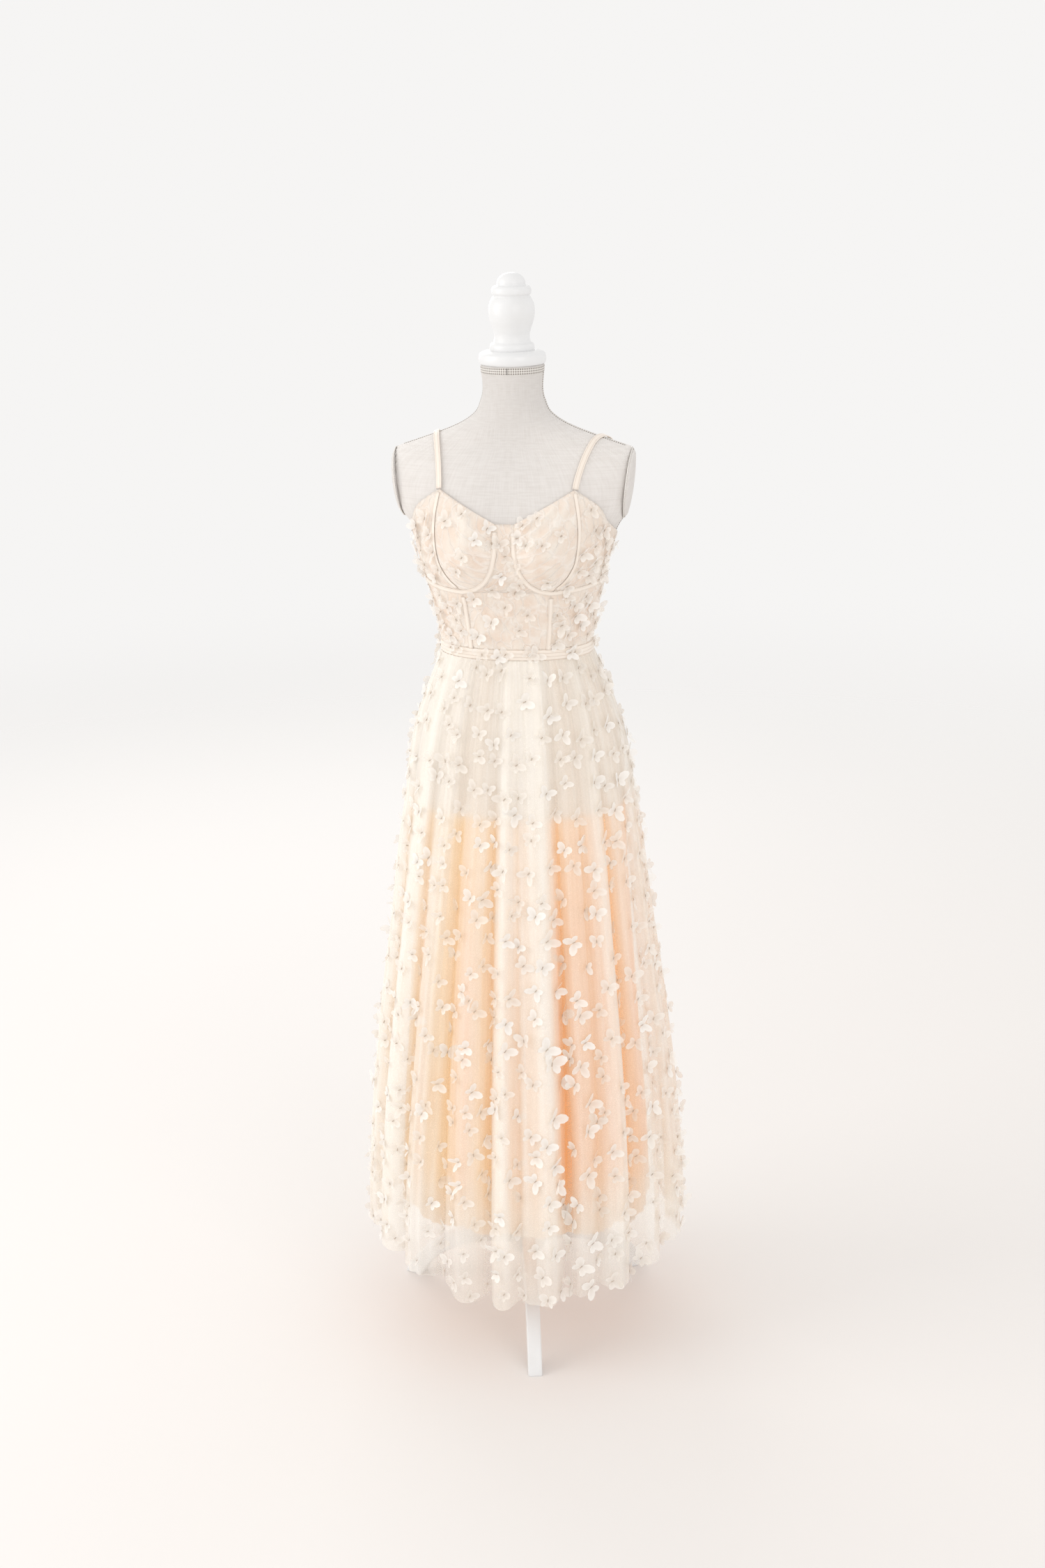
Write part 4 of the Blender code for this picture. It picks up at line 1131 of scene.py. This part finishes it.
@dataclass
class SkirtLayer:
    """One gathered layer of the skirt: crests on smooth sections, with uneven folds."""

    sections: Curve
    folds: dict[str, tuple[tuple[float, ...], ...]]
    body: FormBody
    top: float
    hem: float
    hem_dip: float
    ripple: tuple[float, float]
    gather: float
    rows: int
    columns: int
    fold_power: float = 2.4
    slant: float = 0.0
    white_edge: float = 0.22

    def surface(self, panel: str) -> tuple[Array, dict[str, Array]]:
        """The panel's points and its fold mark.

        A column at share t of its fold's half width lies inside the crest's ring by
        groove * |t|^power, softened at the groove's bottom. Ripples and gathers, sines of
        the angle that grow down and fade down, are added the same way. The front's left folds
        start up to slant degrees further round at the waist, and each fold's hem has its rise.

        Args:
            panel: front or back.

        Returns:
            Rows x columns points, and what the mesh carries.
        """
        folds = np.array(self.folds[panel])
        first = -90.0 if panel == "front" else 90.0
        edges = first + 180.0 * np.concatenate([[0], np.cumsum(folds[:, 0])]) / folds[:, 0].sum()
        angle = np.linspace(first + 0.08, first + 179.92, self.columns)[None, :]
        which = np.clip(np.searchsorted(edges, angle[0]) - 1, 0, len(folds) - 1)
        middle, half = (edges[which] + edges[which + 1]) / 2, (edges[which + 1] - edges[which]) / 2
        t = ((angle[0] - middle) / half)[None, :]
        groove_share = np.where(t < 0, folds[which - 1, 1], folds[which, 1])
        away = np.abs(t)
        lean = folds[which, 2][None, :] * (1 - away**2)

        drop = np.linspace(0, 1, self.rows)[:, None] ** 0.95
        centres = (edges[:-1] + edges[1:]) / 2
        rise = np.interp(angle, centres, folds[:, 4]) * drop**3
        z = self.top - drop * (self.top - self.hem) - self.hem_dip * drop**3 * (1 - away**2)
        z = z + rise
        half_width, front, back, groove = np.moveaxis(
            self.sections.at(np.maximum(z, self.hem)), -1, 0)
        seed = 3 if panel == "front" else 8
        drift = waves(angle, z, seed, 5, 6.0, 5.0)
        valley = 0.72 * away**self.fold_power + 0.28 * (1 - np.cos(math.pi * away)) / 2
        inward = groove * groove_share * valley
        fine = 0.5 - 0.5 * np.cos(np.radians(angle) * 48 + 2.4 * drift + 9 * waves(
            angle, 0 * z, seed + 1, 4, 9.0, 0.0))
        inward = inward + (self.ripple[0] + (self.ripple[1] - self.ripple[0]) * drop) * fine
        pleat = 0.5 - 0.5 * np.cos(np.radians(angle) * 78 + 7.0 * drift)
        inward = inward + self.gather * np.exp(-drop / 0.07) * pleat
        inward = inward + 0.0012 * drop * (1 + waves(angle, z, seed + 2, 8, 22.0, 34.0))

        spread = np.clip(angle / 26, 0, 1) * np.clip((90 - angle) / 40, 0, 1)
        turned = angle + self.slant * (1 - drop) * (spread if panel == "front" else 0)
        ring = self.body.ring(turned, half_width, front, back)
        step = self.body.ring(turned + 1, half_width, front, back)
        around = unit_vectors(step - self.body.ring(turned - 1, half_width, front, back))
        out = np.stack([around[..., 1], -around[..., 0]], axis=-1)
        level = ring - out * inward[..., None] + around * (lean * drop)[..., None]
        points = np.concatenate([level, z[..., None]], axis=-1)
        # the fold mark: the finishes lower the tulle's cover with it and paint warmth, shade and
        # glow into the grooves with it
        depth = valley * groove_share * np.clip(drop * 4, 0, 1)
        fold = np.clip(0.95 * depth + 0.12 * fine * drop, 0, 1)
        veil = np.interp(angle + 8 * (drop - 0.35), centres, folds[:, 3])
        deepest = edges[1 + int(np.argmax(folds[:, 1]))]
        veil = veil + self.white_edge * np.exp(-(((angle - deepest + 6.5) / 3.6) ** 2))
        return points, {"fold": fold, "veil": veil}

    def cut(self, points: Array) -> tuple[tuple[float, float], float]:
        """Width at the hem, length and area of the cloth that shows, laid flat."""
        width = float(lengths_along(points, 1)[:, -1].max())
        length = float(lengths_along(points, 0)[-1].max())
        return (width, length), open_sheet(points, points[..., :2], {}).area()

    def build(self, name: str, panel: str, finish: type, slot: Slot, node: str) -> Array:
        """Makes a panel and works out its cut.

        Args:
            name: the object's name.
            panel: front or back.
            finish: the finish's class.
            slot: the record's slot.
            node: the CAD node that it stands for.

        Returns:
            The panel's points.
        """
        points, marks = self.surface(panel)
        width = lengths_along(points, 1)[-1]
        down = lengths_along(points, 0)
        cloth = np.stack([np.broadcast_to(width, down.shape), down], axis=-1)
        piece = open_sheet(points, cloth, marks).build(name, finish, slot, [node])
        flat, area = self.cut(points)
        return points


@dataclass
class Skirt:
    """The butterfly tulle over the shorter peach lining."""

    body: FormBody
    waist: float = 1.1467
    tulle_hem: float = 0.122
    lining_hem: float = 0.208
    perch_rows: int = 26

    def layers(self) -> tuple[SkirtLayer, SkirtLayer]:
        """The tulle and the lining with their sections and folds."""
        tulle = SkirtLayer(
            sections=table((
                (1.147, 0.1192, 0.0852, 0.0852, 0.0004), (1.120, 0.1300, 0.0935, 0.0940, 0.0020),
                (1.085, 0.1440, 0.1030, 0.1050, 0.0028), (1.030, 0.1630, 0.1140, 0.1210, 0.0035),
                (0.980, 0.1740, 0.1210, 0.1300, 0.0042), (0.930, 0.1805, 0.1290, 0.1370, 0.0070),
                (0.850, 0.1940, 0.1420, 0.1480, 0.0140), (0.720, 0.2110, 0.1610, 0.1660, 0.0240),
                (0.560, 0.2340, 0.1830, 0.1880, 0.0330), (0.400, 0.2520, 0.2040, 0.2080, 0.0400),
                (0.250, 0.2630, 0.2190, 0.2230, 0.0450), (0.122, 0.2660, 0.2270, 0.2300, 0.0480))),
            folds={
                "front": ((22, 0.45, 0.000, 0.90, 0.050), (18, 0.50, 0.004, 0.90, 0.048),
                          (19, 0.70, -0.004, 0.72, 0.032), (22, 0.85, 0.005, 0.50, 0.002),
                          (14, 0.40, -0.003, 0.92, -0.006), (20, 1.00, 0.009, 0.80, 0.006),
                          (13, 0.50, -0.004, 0.42, 0.018), (16, 0.95, 0.004, 0.74, 0.020),
                          (17, 0.55, -0.004, 0.50, 0.042), (19, 0.60, 0.000, 0.62, 0.050)),
                "back": ((20, 0.55, 0.003, 0.70, 0.050), (17, 0.80, -0.004, 0.55, 0.032),
                         (19, 0.50, 0.004, 0.85, 0.012), (15, 0.95, 0.006, 0.60, 0.000),
                         (18, 0.60, -0.003, 0.80, 0.008), (21, 0.85, 0.004, 0.65, -0.002),
                         (14, 0.45, -0.004, 0.85, 0.006), (18, 0.90, 0.005, 0.60, 0.014),
                         (17, 0.60, -0.003, 0.85, 0.034), (21, 0.60, 0.000, 0.85, 0.050)),
            },
            body=self.body, top=self.waist, hem=self.tulle_hem, hem_dip=0.007,
            ripple=(0.0004, 0.0042), gather=0.0011, rows=130, columns=380, slant=9.0)
        lining_folds = ((27, 0.8, 0.002, 1, 0), (33, 1.0, -0.003, 1, 0), (26, 0.7, 0.002, 1, 0),
                        (35, 1.0, 0.003, 1, 0), (28, 0.8, -0.002, 1, 0), (31, 0.8, 0.000, 1, 0))
        lining = SkirtLayer(
            sections=table((
                (1.147, 0.1165, 0.0825, 0.0825, 0.0002), (1.090, 0.1330, 0.0912, 0.0932, 0.0003),
                (1.035, 0.1535, 0.1015, 0.1075, 0.0004), (0.985, 0.1645, 0.1075, 0.1175, 0.0004),
                (0.935, 0.1665, 0.1085, 0.1195, 0.0005), (0.903, 0.1672, 0.1120, 0.1210, 0.0015),
                (0.850, 0.1690, 0.1170, 0.1230, 0.0035), (0.700, 0.1780, 0.1280, 0.1330, 0.0070),
                (0.500, 0.1920, 0.1430, 0.1480, 0.0110), (0.350, 0.2030, 0.1560, 0.1600, 0.0140),
                (0.208, 0.2100, 0.1640, 0.1680, 0.0160))),
            folds={"front": lining_folds, "back": lining_folds},
            body=self.body, top=self.waist, hem=self.lining_hem, hem_dip=0.0,
            ripple=(0.0001, 0.0040), gather=0.0002, rows=90, columns=200)
        return tulle, lining

    def perches(self, points: Array, fold: Array, seed: int) -> Perches:
        """Uneven rows of perches, half a step shifted from row to row.

        Args:
            points: the tulle panel's grid.
            fold: its fold mark, so that the deepest grooves stay free.
            seed: the seed of the unevenness.

        Returns:
            The perches.
        """
        rng = np.random.default_rng(seed)
        rows, columns = points.shape[:2]
        places = []
        for line in range(self.perch_rows):
            share = (line + 0.55) / self.perch_rows
            count = int(round(13 + 11 * share))
            along = (np.arange(count) + 0.25 + 0.5 * (line % 2)) / count
            along = np.clip(along + rng.uniform(-0.3, 0.3, count) / count, 0.006, 0.994)
            down = share + rng.uniform(-0.30, 0.30, count) / self.perch_rows
            places.append(np.column_stack([np.clip(down, 0.008, 0.988), along]))
        places = np.concatenate(places) * (rows - 1, columns - 1)
        found = Perches.on_grid(points, places[:, 0], places[:, 1])
        deep = fold[places[:, 0].astype(int), places[:, 1].astype(int)]
        return found.keep(deep < 0.80)

    def build(self) -> None:
        """Makes both layers, front and back, and the butterflies on the tulle."""
        tulle, lining = self.layers()
        for number, panel in enumerate(("front", "back")):
            lining.build(f"lining_{panel}", panel, LiningFinish, Slot.LINING,
                         f"skirt_lining_{panel}")
            points = tulle.build(f"tulle_{panel}", panel, TulleFinish, Slot.TULLE,
                                 f"skirt_tulle_{panel}")
            fold = tulle.surface(panel)[1]["fold"]
            found = self.perches(points, fold, 20 + number)
            x, _, z = found.points.T
            bright = (np.exp(-((x - 0.075 - 0.05 * (0.6 - z)) / 0.045) ** 2)
                      * np.clip((0.86 - z) / 0.25, 0, 1) * (panel == "front"))
            Flock(f"skirt_{panel}_butterfly", found, 40 + number, bright=bright).build()


# ---- Bodice


@dataclass
class Crease:
    """A soft ridge across a panel: depth * exp(-((u cos + v sin - offset) / width)^2)."""

    turn: float
    offset: float
    width: float
    depth: float

    def height(self, u: Array, v: Array) -> Array:
        """The ridge's height at shares u across and v up the panel."""
        turn = math.radians(self.turn)
        away = (u * math.cos(turn) + v * math.sin(turn) - self.offset) / self.width
        return self.depth * np.exp(-(away**2))


@dataclass
class Bodice:
    """Wired cups, centre, side and back panels, tapes, straps and waistband."""

    body: FormBody
    clearance: float = 0.0022
    thick: float = 0.0018
    foot: float = 1.1633
    tape: float = 0.0075
    waist: tuple[float, float] = (1.1473, 1.1631)
    boning_x: float = 0.058
    gore: tuple[float, float] = (0.015, 1.358)
    strap: tuple[float, float] = (0.101, 1.406)
    degree: tuple[float, float] = (0.0019, 1.0)
    fine: int = 34
    spacings: tuple[float, ...] = (0.041, 0.028, 0.028, 0.034, 0.036)
    waist_perches: int = 22

    def __post_init__(self) -> None:
        """Works out the seam lines on the wearer's left, as (angle, z) curves."""
        self.wire_points = ((self.gore[0], 1.351), (0.0155, 1.318), (0.0225, 1.289),
                            (0.034, 1.271), (0.050, 1.260), (0.066, 1.256))
        princess = ((0.066, 1.256), (0.086, 1.273), (0.100, 1.296), (0.106, 1.326),
                    (0.107, 1.364), self.strap)
        self.wire = self.angles(fair(self.wire_points, self.fine))
        self.princess = self.angles(fair(princess, self.fine))
        self.neckline = self.angles(fair((self.gore, (0.056, 1.380), self.strap), self.fine))
        self.foot_seam = fair((tuple(self.wire[-1]), (55, 1.257), (90, 1.266)), self.fine,
                              unit=self.degree)
        self.armhole = fair((tuple(self.princess[-1]), (64, 1.384), (71, 1.358), (90, 1.330)),
                            self.fine, unit=self.degree)
        self.back_top = fair(((90, 1.330), (135, 1.311), (180, 1.302)), 60, unit=self.degree)
        self.bone = self.angles(fair(((self.boning_x, self.foot), (0.066, 1.256)), self.fine))

    def angles(self, curve: Array) -> Array:
        """(x, z) points on the front as (angle, z)."""
        return np.column_stack([self.body.angle_at(curve[:, 0], curve[:, 1]), curve[:, 1]])

    @staticmethod
    def patch(bottom: Array, top: Array, left: Array, right: Array) -> Array:
        """A grid between four edges: the two rulings added, the corners' blend taken off."""
        u = np.linspace(0, 1, len(bottom))[None, :, None]
        v = np.linspace(0, 1, len(left))[:, None, None]
        ruled = (1 - v) * bottom[None] + v * top[None] + (1 - u) * left[:, None] + u * right[:, None]
        low = (1 - u) * bottom[0] + u * bottom[-1]
        high = (1 - u) * top[0] + u * top[-1]
        return ruled - (1 - v) * low - v * high

    def panel(self, name: str, grid: Array, side: int, node: str, fullness: float = 0.0,
              creases: Sequence[Crease] = (), seed: int = 1) -> Array:
        """One cloth panel over the form, a closed wall with sunken seams and soft creases.

        Args:
            name: the object's name.
            grid: (angle, z) on the wearer's left, rows up.
            side: 1, or -1 to mirror it.
            node: the CAD node that it stands for.
            fullness: how far its middle stands out.
            creases: the panel's creases.
            seed: the seed of its small wrinkles.

        Returns:
            The outer grid, with rows down and columns to the wearer's left.
        """
        rows, columns = grid.shape[:2]
        u = np.linspace(0, 1, columns)[None, :]
        v = np.linspace(0, 1, rows)[:, None]
        angle, z = side * grid[..., 0], grid[..., 1]
        base = self.body.point(angle, z)
        across, along = lengths_along(base, 1), lengths_along(base, 0)
        edge = np.minimum(np.minimum(across, across[:, -1:] - across),
                          np.minimum(along, along[-1:] - along))
        seam = np.exp(-((edge / 0.0028) ** 2))
        soft = 1 - np.exp(-((edge / 0.009) ** 2))
        swell = fullness * (np.sin(math.pi * u) * np.sin(math.pi * v)) ** 2
        ridge = sum((crease.height(u, v) for crease in creases), np.zeros((rows, columns)))
        small = (0.0009 * waves(angle, z, seed, 7, 30.0, 70.0)
                 + 0.0005 * waves(angle, z, seed + 50, 9, 70.0, 190.0))
        lift = self.clearance + swell + (ridge + small) * soft - 0.0003 * seam
        outer = self.body.lifted(angle, z, lift + self.thick)
        inner = self.body.lifted(angle, z, np.full_like(z, self.clearance) + swell - 0.0003 * seam)
        # painted shade for the finish: high in the valleys of the creases and small wrinkles, low on
        # their ridges
        crease_shade = np.clip(0.50 - ridge / 0.0030 - small / 0.0013, -0.4, 1.0) * soft
        cloth = np.stack([across, z], axis=-1)
        piece = walled(outer, inner, cloth, {"crease": crease_shade}).build(
            name, BodiceFinish, Slot.BODICE, [node])
        one_side = open_sheet(outer, cloth, {})
        flat = (float(lengths_along(outer, 1)[:, -1].max()),
                float(lengths_along(outer, 0)[-1].max()))
        min(one_side.area(), flat[0] * flat[1])
        down = outer[::-1]
        return down if side > 0 else down[:, ::-1]

    def band(self, name: str, line: Array, side: int, width: float, lift: float, node: str,
             thick: float = 0.0013) -> None:
        """A flat tape carried along an (angle, z) line that far off the form."""
        angle, z = side * line[:, 0], line[:, 1]
        path = self.body.lifted(angle, z, np.full(len(z), lift + thick / 2))
        section = rounded_section(width, thick, thick * 0.45)
        carried(path, self.body.normal(angle, z), section).build(
            name, TapeFinish, Slot.TAPE, [node] if node else [])

    def cups_and_panels(self) -> list[Array]:
        """The cloth panels of the bodice, both sides.

        Returns:
            The panels' outer grids.
        """
        gore = self.angles(np.linspace(self.wire_points[0], self.gore, self.fine))
        inner = self.patch(self.wire, self.neckline, gore, self.princess)
        rise = np.linspace(0, 1, self.fine)[:, None]
        side_seam = self.foot_seam[-1] + rise * (self.armhole[-1] - self.foot_seam[-1])
        outer = self.patch(self.foot_seam, self.armhole, self.princess, side_seam)
        waist = np.linspace(self.bone[0], (90, self.foot), self.fine)
        low_side = np.linspace((90, self.foot), self.foot_seam[-1], self.fine)
        flank = self.patch(waist, self.foot_seam, self.bone, low_side)
        back = self.patch(np.linspace((90, self.foot), (180, self.foot), 60), self.back_top,
                          np.linspace((90, self.foot), self.back_top[0], self.fine),
                          np.linspace((180, self.foot), self.back_top[-1], self.fine))
        pulled = [Crease(-42, -0.30 + 0.17 * i, 0.045, 0.0028 - 0.0003 * i) for i in range(5)]
        calm = [Crease(12, 0.70, 0.06, 0.0024), Crease(-20, 0.20, 0.07, 0.0016),
                Crease(-48, -0.18, 0.05, 0.0018)]
        found = []
        for side in Side:
            label, sign = side.name.lower(), side.value
            creases = pulled if side is Side.LEFT else calm
            found.append(self.panel(f"inner_cup_{label}", inner, sign, f"cup_inner_{label}",
                                    0.004, creases, 11))
            found.append(self.panel(f"outer_cup_{label}", outer, sign, f"cup_outer_{label}",
                                    0.004, [Crease(35, 0.55, 0.06, 0.0014)], 12))
            found.append(self.panel(f"side_panel_{label}", flank, sign, f"bodice_side_{label}",
                                    0.0, [Crease(60, 0.45, 0.08, 0.0008)], 13))
            found.append(self.panel(f"back_panel_{label}", back, sign, f"bodice_back_{label}",
                                    0.0, [Crease(75, 0.60, 0.07, 0.0008)], 14))
        edge = np.concatenate([self.bone[:-1], self.wire[::-1],
                               self.angles(np.array([self.gore]))])
        mirrored = edge * (-1, 1)
        middle = self.patch(np.linspace(mirrored[0], edge[0], 44),
                            np.linspace(mirrored[-1], edge[-1], 44), mirrored, edge)
        found.append(self.panel("centre_panel", middle, 1, "bodice_centre", 0.0,
                                [Crease(70, 0.30, 0.05, 0.0008), Crease(100, 0.12, 0.05, 0.0008)],
                                15))
        return found

    def tapes(self) -> None:
        """Casings over the wires and bones, narrow covers on the cup seams, the waistband."""
        low = self.clearance + self.thick + 0.0003
        wire = np.concatenate([self.wire[1:], self.foot_seam[1:-3]])
        for side in Side:
            label, sign = side.name.lower(), side.value
            self.band(f"wire_tape_{label}", wire, sign, self.tape, low,
                      f"underwire_casing_{label}")
            self.band(f"bone_tape_{label}", self.bone[:-3], sign, self.tape, low,
                      f"boning_casing_{label}")
            self.band(f"cup_seam_{label}", self.princess[2:-1], sign, 0.0052, low, "", 0.0008)
        around = np.linspace(0, 360, 200, endpoint=False)
        middle = np.full(200, sum(self.waist) / 2)
        path = self.body.lifted(around, middle, np.full(200, self.clearance + 0.0017))
        section = rounded_section(self.waist[1] - self.waist[0], 0.0032, 0.0012)
        band = carried(path, self.body.normal(around, middle), section, closed=True)
        band.build("waist_tape", TapeFinish, Slot.TAPE, ["waistband"])

    def straps(self) -> None:
        """Straps over the shoulders, along the middles of the CAD straps' own faces."""
        for side in Side:
            label = side.name.lower()
            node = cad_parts[f"strap_{label}"]
            count = len(node.data.vertices)
            corners = np.empty(count * 3)
            node.data.vertices.foreach_get("co", corners)
            corners = np.unique(corners.reshape(-1, 3).round(6), axis=0)
            pivot = np.array((0, 1.34))
            turn = np.arctan2(corners[:, 1] - pivot[0], corners[:, 2] - pivot[1])
            order = np.argsort(turn)
            groups = np.array_split(corners[order], len(corners) // 6)
            path = fair(np.array([group.mean(axis=0) for group in groups]), 90)
            smooth = np.copy(path)
            for _ in range(6):
                smooth[1:-1] = (smooth[:-2] + 2 * smooth[1:-1] + smooth[2:]) / 4
            out = smooth - np.array((0, 0, 1.36)) * 1.0
            out[:, 0] *= 0.35
            section = rounded_section(0.0090, 0.0016, 0.0007)
            carried(smooth, unit_vectors(out), section).build(
                f"shoulder_strap_{label}", TapeFinish, Slot.TAPE, [f"strap_{label}"])

    def perches(self, grids: Sequence[Array]) -> Perches:
        """Perches over the panels, few on the inner cups and many at the sides.

        Args:
            grids: the panels' outer grids.

        Returns:
            The perches of all panels.
        """
        rng, parts = np.random.default_rng(77), []
        spacings = self.spacings[:4] * 2 + self.spacings[4:]
        for grid, spacing in zip(grids, spacings):
            area = open_sheet(grid, grid[..., :2], {}).area()
            count = max(3, int(round(area / spacing**2)))
            share = (np.arange(count) + 0.5) / count
            u = (share * 5.236 + rng.uniform(-0.05, 0.05, count)) % 1.0
            rows = (0.07 + 0.86 * share) * (grid.shape[0] - 1)
            columns = (0.07 + 0.86 * u) * (grid.shape[1] - 1)
            parts.append(Perches.on_grid(grid, rows, columns))
        angle = np.linspace(0, 360, self.waist_perches, endpoint=False)
        angle = angle + rng.uniform(-8, 8, len(angle))
        z = 1.154 + rng.uniform(-0.006, 0.008, len(angle))
        parts.append(Perches(self.body.lifted(angle, z, np.full(len(z), 0.0058)),
                             self.body.normal(angle, z), np.tile((0.0, 0.0, 1.0), (len(z), 1))))
        return Perches(*(np.concatenate([getattr(part, key) for part in parts])
                         for key in ("points", "out", "up")))

    def build(self) -> None:
        """Makes the bodice and its butterflies."""
        grids = self.cups_and_panels()
        self.tapes()
        self.straps()
        Flock("bodice_butterfly", self.perches(grids), 61, span=0.0165).build()


# ---- Studio


@dataclass
class Studio:
    """A pale floor, soft window light from the left, and the photograph's camera."""

    azimuth: float = 9.0
    distance: float = 3.284
    height: float = 1.969
    aside: float = 0.004
    pitch: float = 17.65
    roll: float = 1.0
    lens: float = 50.0
    floor_radius: float = 7.0

    def camera(self) -> None:
        """A 50 mm lens on a frame 36 mm tall, turned by the pitch and the roll."""
        turn, pitch, roll = (math.radians(v) for v in (self.azimuth, self.pitch, self.roll))
        right = Vector((math.cos(turn), math.sin(turn), 0))
        level = Vector((-math.sin(turn), math.cos(turn), 0))
        ahead = level * math.cos(pitch) - Vector((0, 0, math.sin(pitch)))
        up = right.cross(ahead)
        rolled_right = right * math.cos(roll) - up * math.sin(roll)
        rolled_up = up * math.cos(roll) + right * math.sin(roll)
        place = right * self.aside - level * self.distance + Vector((0, 0, self.height))
        data = bpy.data.cameras.new("photo_camera")
        data.lens, data.sensor_fit, data.sensor_height = self.lens, "VERTICAL", 36.0
        made = bpy.data.objects.new("photo_camera", data)
        columns = Matrix((rolled_right, rolled_up, -ahead)).transposed()
        made.matrix_world = Matrix.Translation(place) @ columns.to_4x4()
        bpy.context.scene.collection.objects.link(made)
        bpy.context.scene.camera = made

    def light(self, name: str, place: Sequence[float], size: float, power: float,
              colour: Colour, target: Sequence[float]) -> None:
        """A square soft light that points at the target."""
        data = bpy.data.lights.new(name, "AREA")
        data.shape, data.size, data.energy, data.color = "SQUARE", size, power, colour
        made = bpy.data.objects.new(name, data)
        made.location = place
        aim = Vector(target) - Vector(place)
        made.rotation_euler = aim.to_track_quat("-Z", "Y").to_euler()
        bpy.context.scene.collection.objects.link(made)

    def build(self) -> None:
        """Makes the camera, the lights, the sky and the floor."""
        self.camera()
        middle = (0.0, 0.0, 0.85)
        self.light("window_light", (-3.2, -1.2, 2.2), 2.6, 42.0, (1.0, 0.985, 0.965), middle)
        self.light("room_light", (2.4, -3.4, 2.6), 2.4, 26.0, (1.0, 0.97, 0.95), middle)
        self.light("back_light", (-1.4, 3.0, 2.4), 2.2, 24.0, (1.0, 0.985, 0.97), middle)
        world = bpy.data.worlds.new("pale_room")
        world.use_nodes = True
        background = world.node_tree.nodes["Background"]
        background.inputs["Color"].default_value = (0.95, 0.94, 0.93, 1.0)
        background.inputs["Strength"].default_value = 0.97
        bpy.context.scene.world = world
        bpy.context.scene.view_settings.view_transform = "Standard"
        self.floor()

    def floor(self) -> None:
        """A flat disc that fades out before its edge, so that no horizon shows."""
        radius = np.array((0.6, 1.2, 2.4, 4.0, self.floor_radius))
        turn = np.linspace(0, 2 * math.pi, 96, endpoint=False)
        rings = np.stack(np.broadcast_arrays(
            radius[:, None] * np.cos(turn), radius[:, None] * np.sin(turn), -0.0002), axis=-1)
        points = np.concatenate([rings.reshape(-1, 3), [(0, 0, -0.0002)]])
        first = np.arange(96)
        faces = grid_faces(len(radius), 96, wrap=True)[:, ::-1].tolist()
        faces += [(len(points) - 1, a, b) for a, b in zip(first, np.roll(first, -1))]
        mesh = bpy.data.meshes.new("studio_floor")
        mesh.from_pydata(points.tolist(), [], faces)
        mesh.materials.append(FINISHES[FloorFinish])
        floor = bpy.data.objects.new("studio_floor", mesh)
        bpy.context.scene.collection.objects.link(floor)


def main() -> None:
    """Builds the studio, the stand and form, the bodice and the skirt."""
    logging.basicConfig(level=logging.INFO, format="%(name)s %(message)s")
    Studio().build()
    body = FormBody()
    TripodStand().build()
    DressForm(body).build()
    Bodice(body).build()
    Skirt(body).build()


if __name__ == "__main__":
    main()
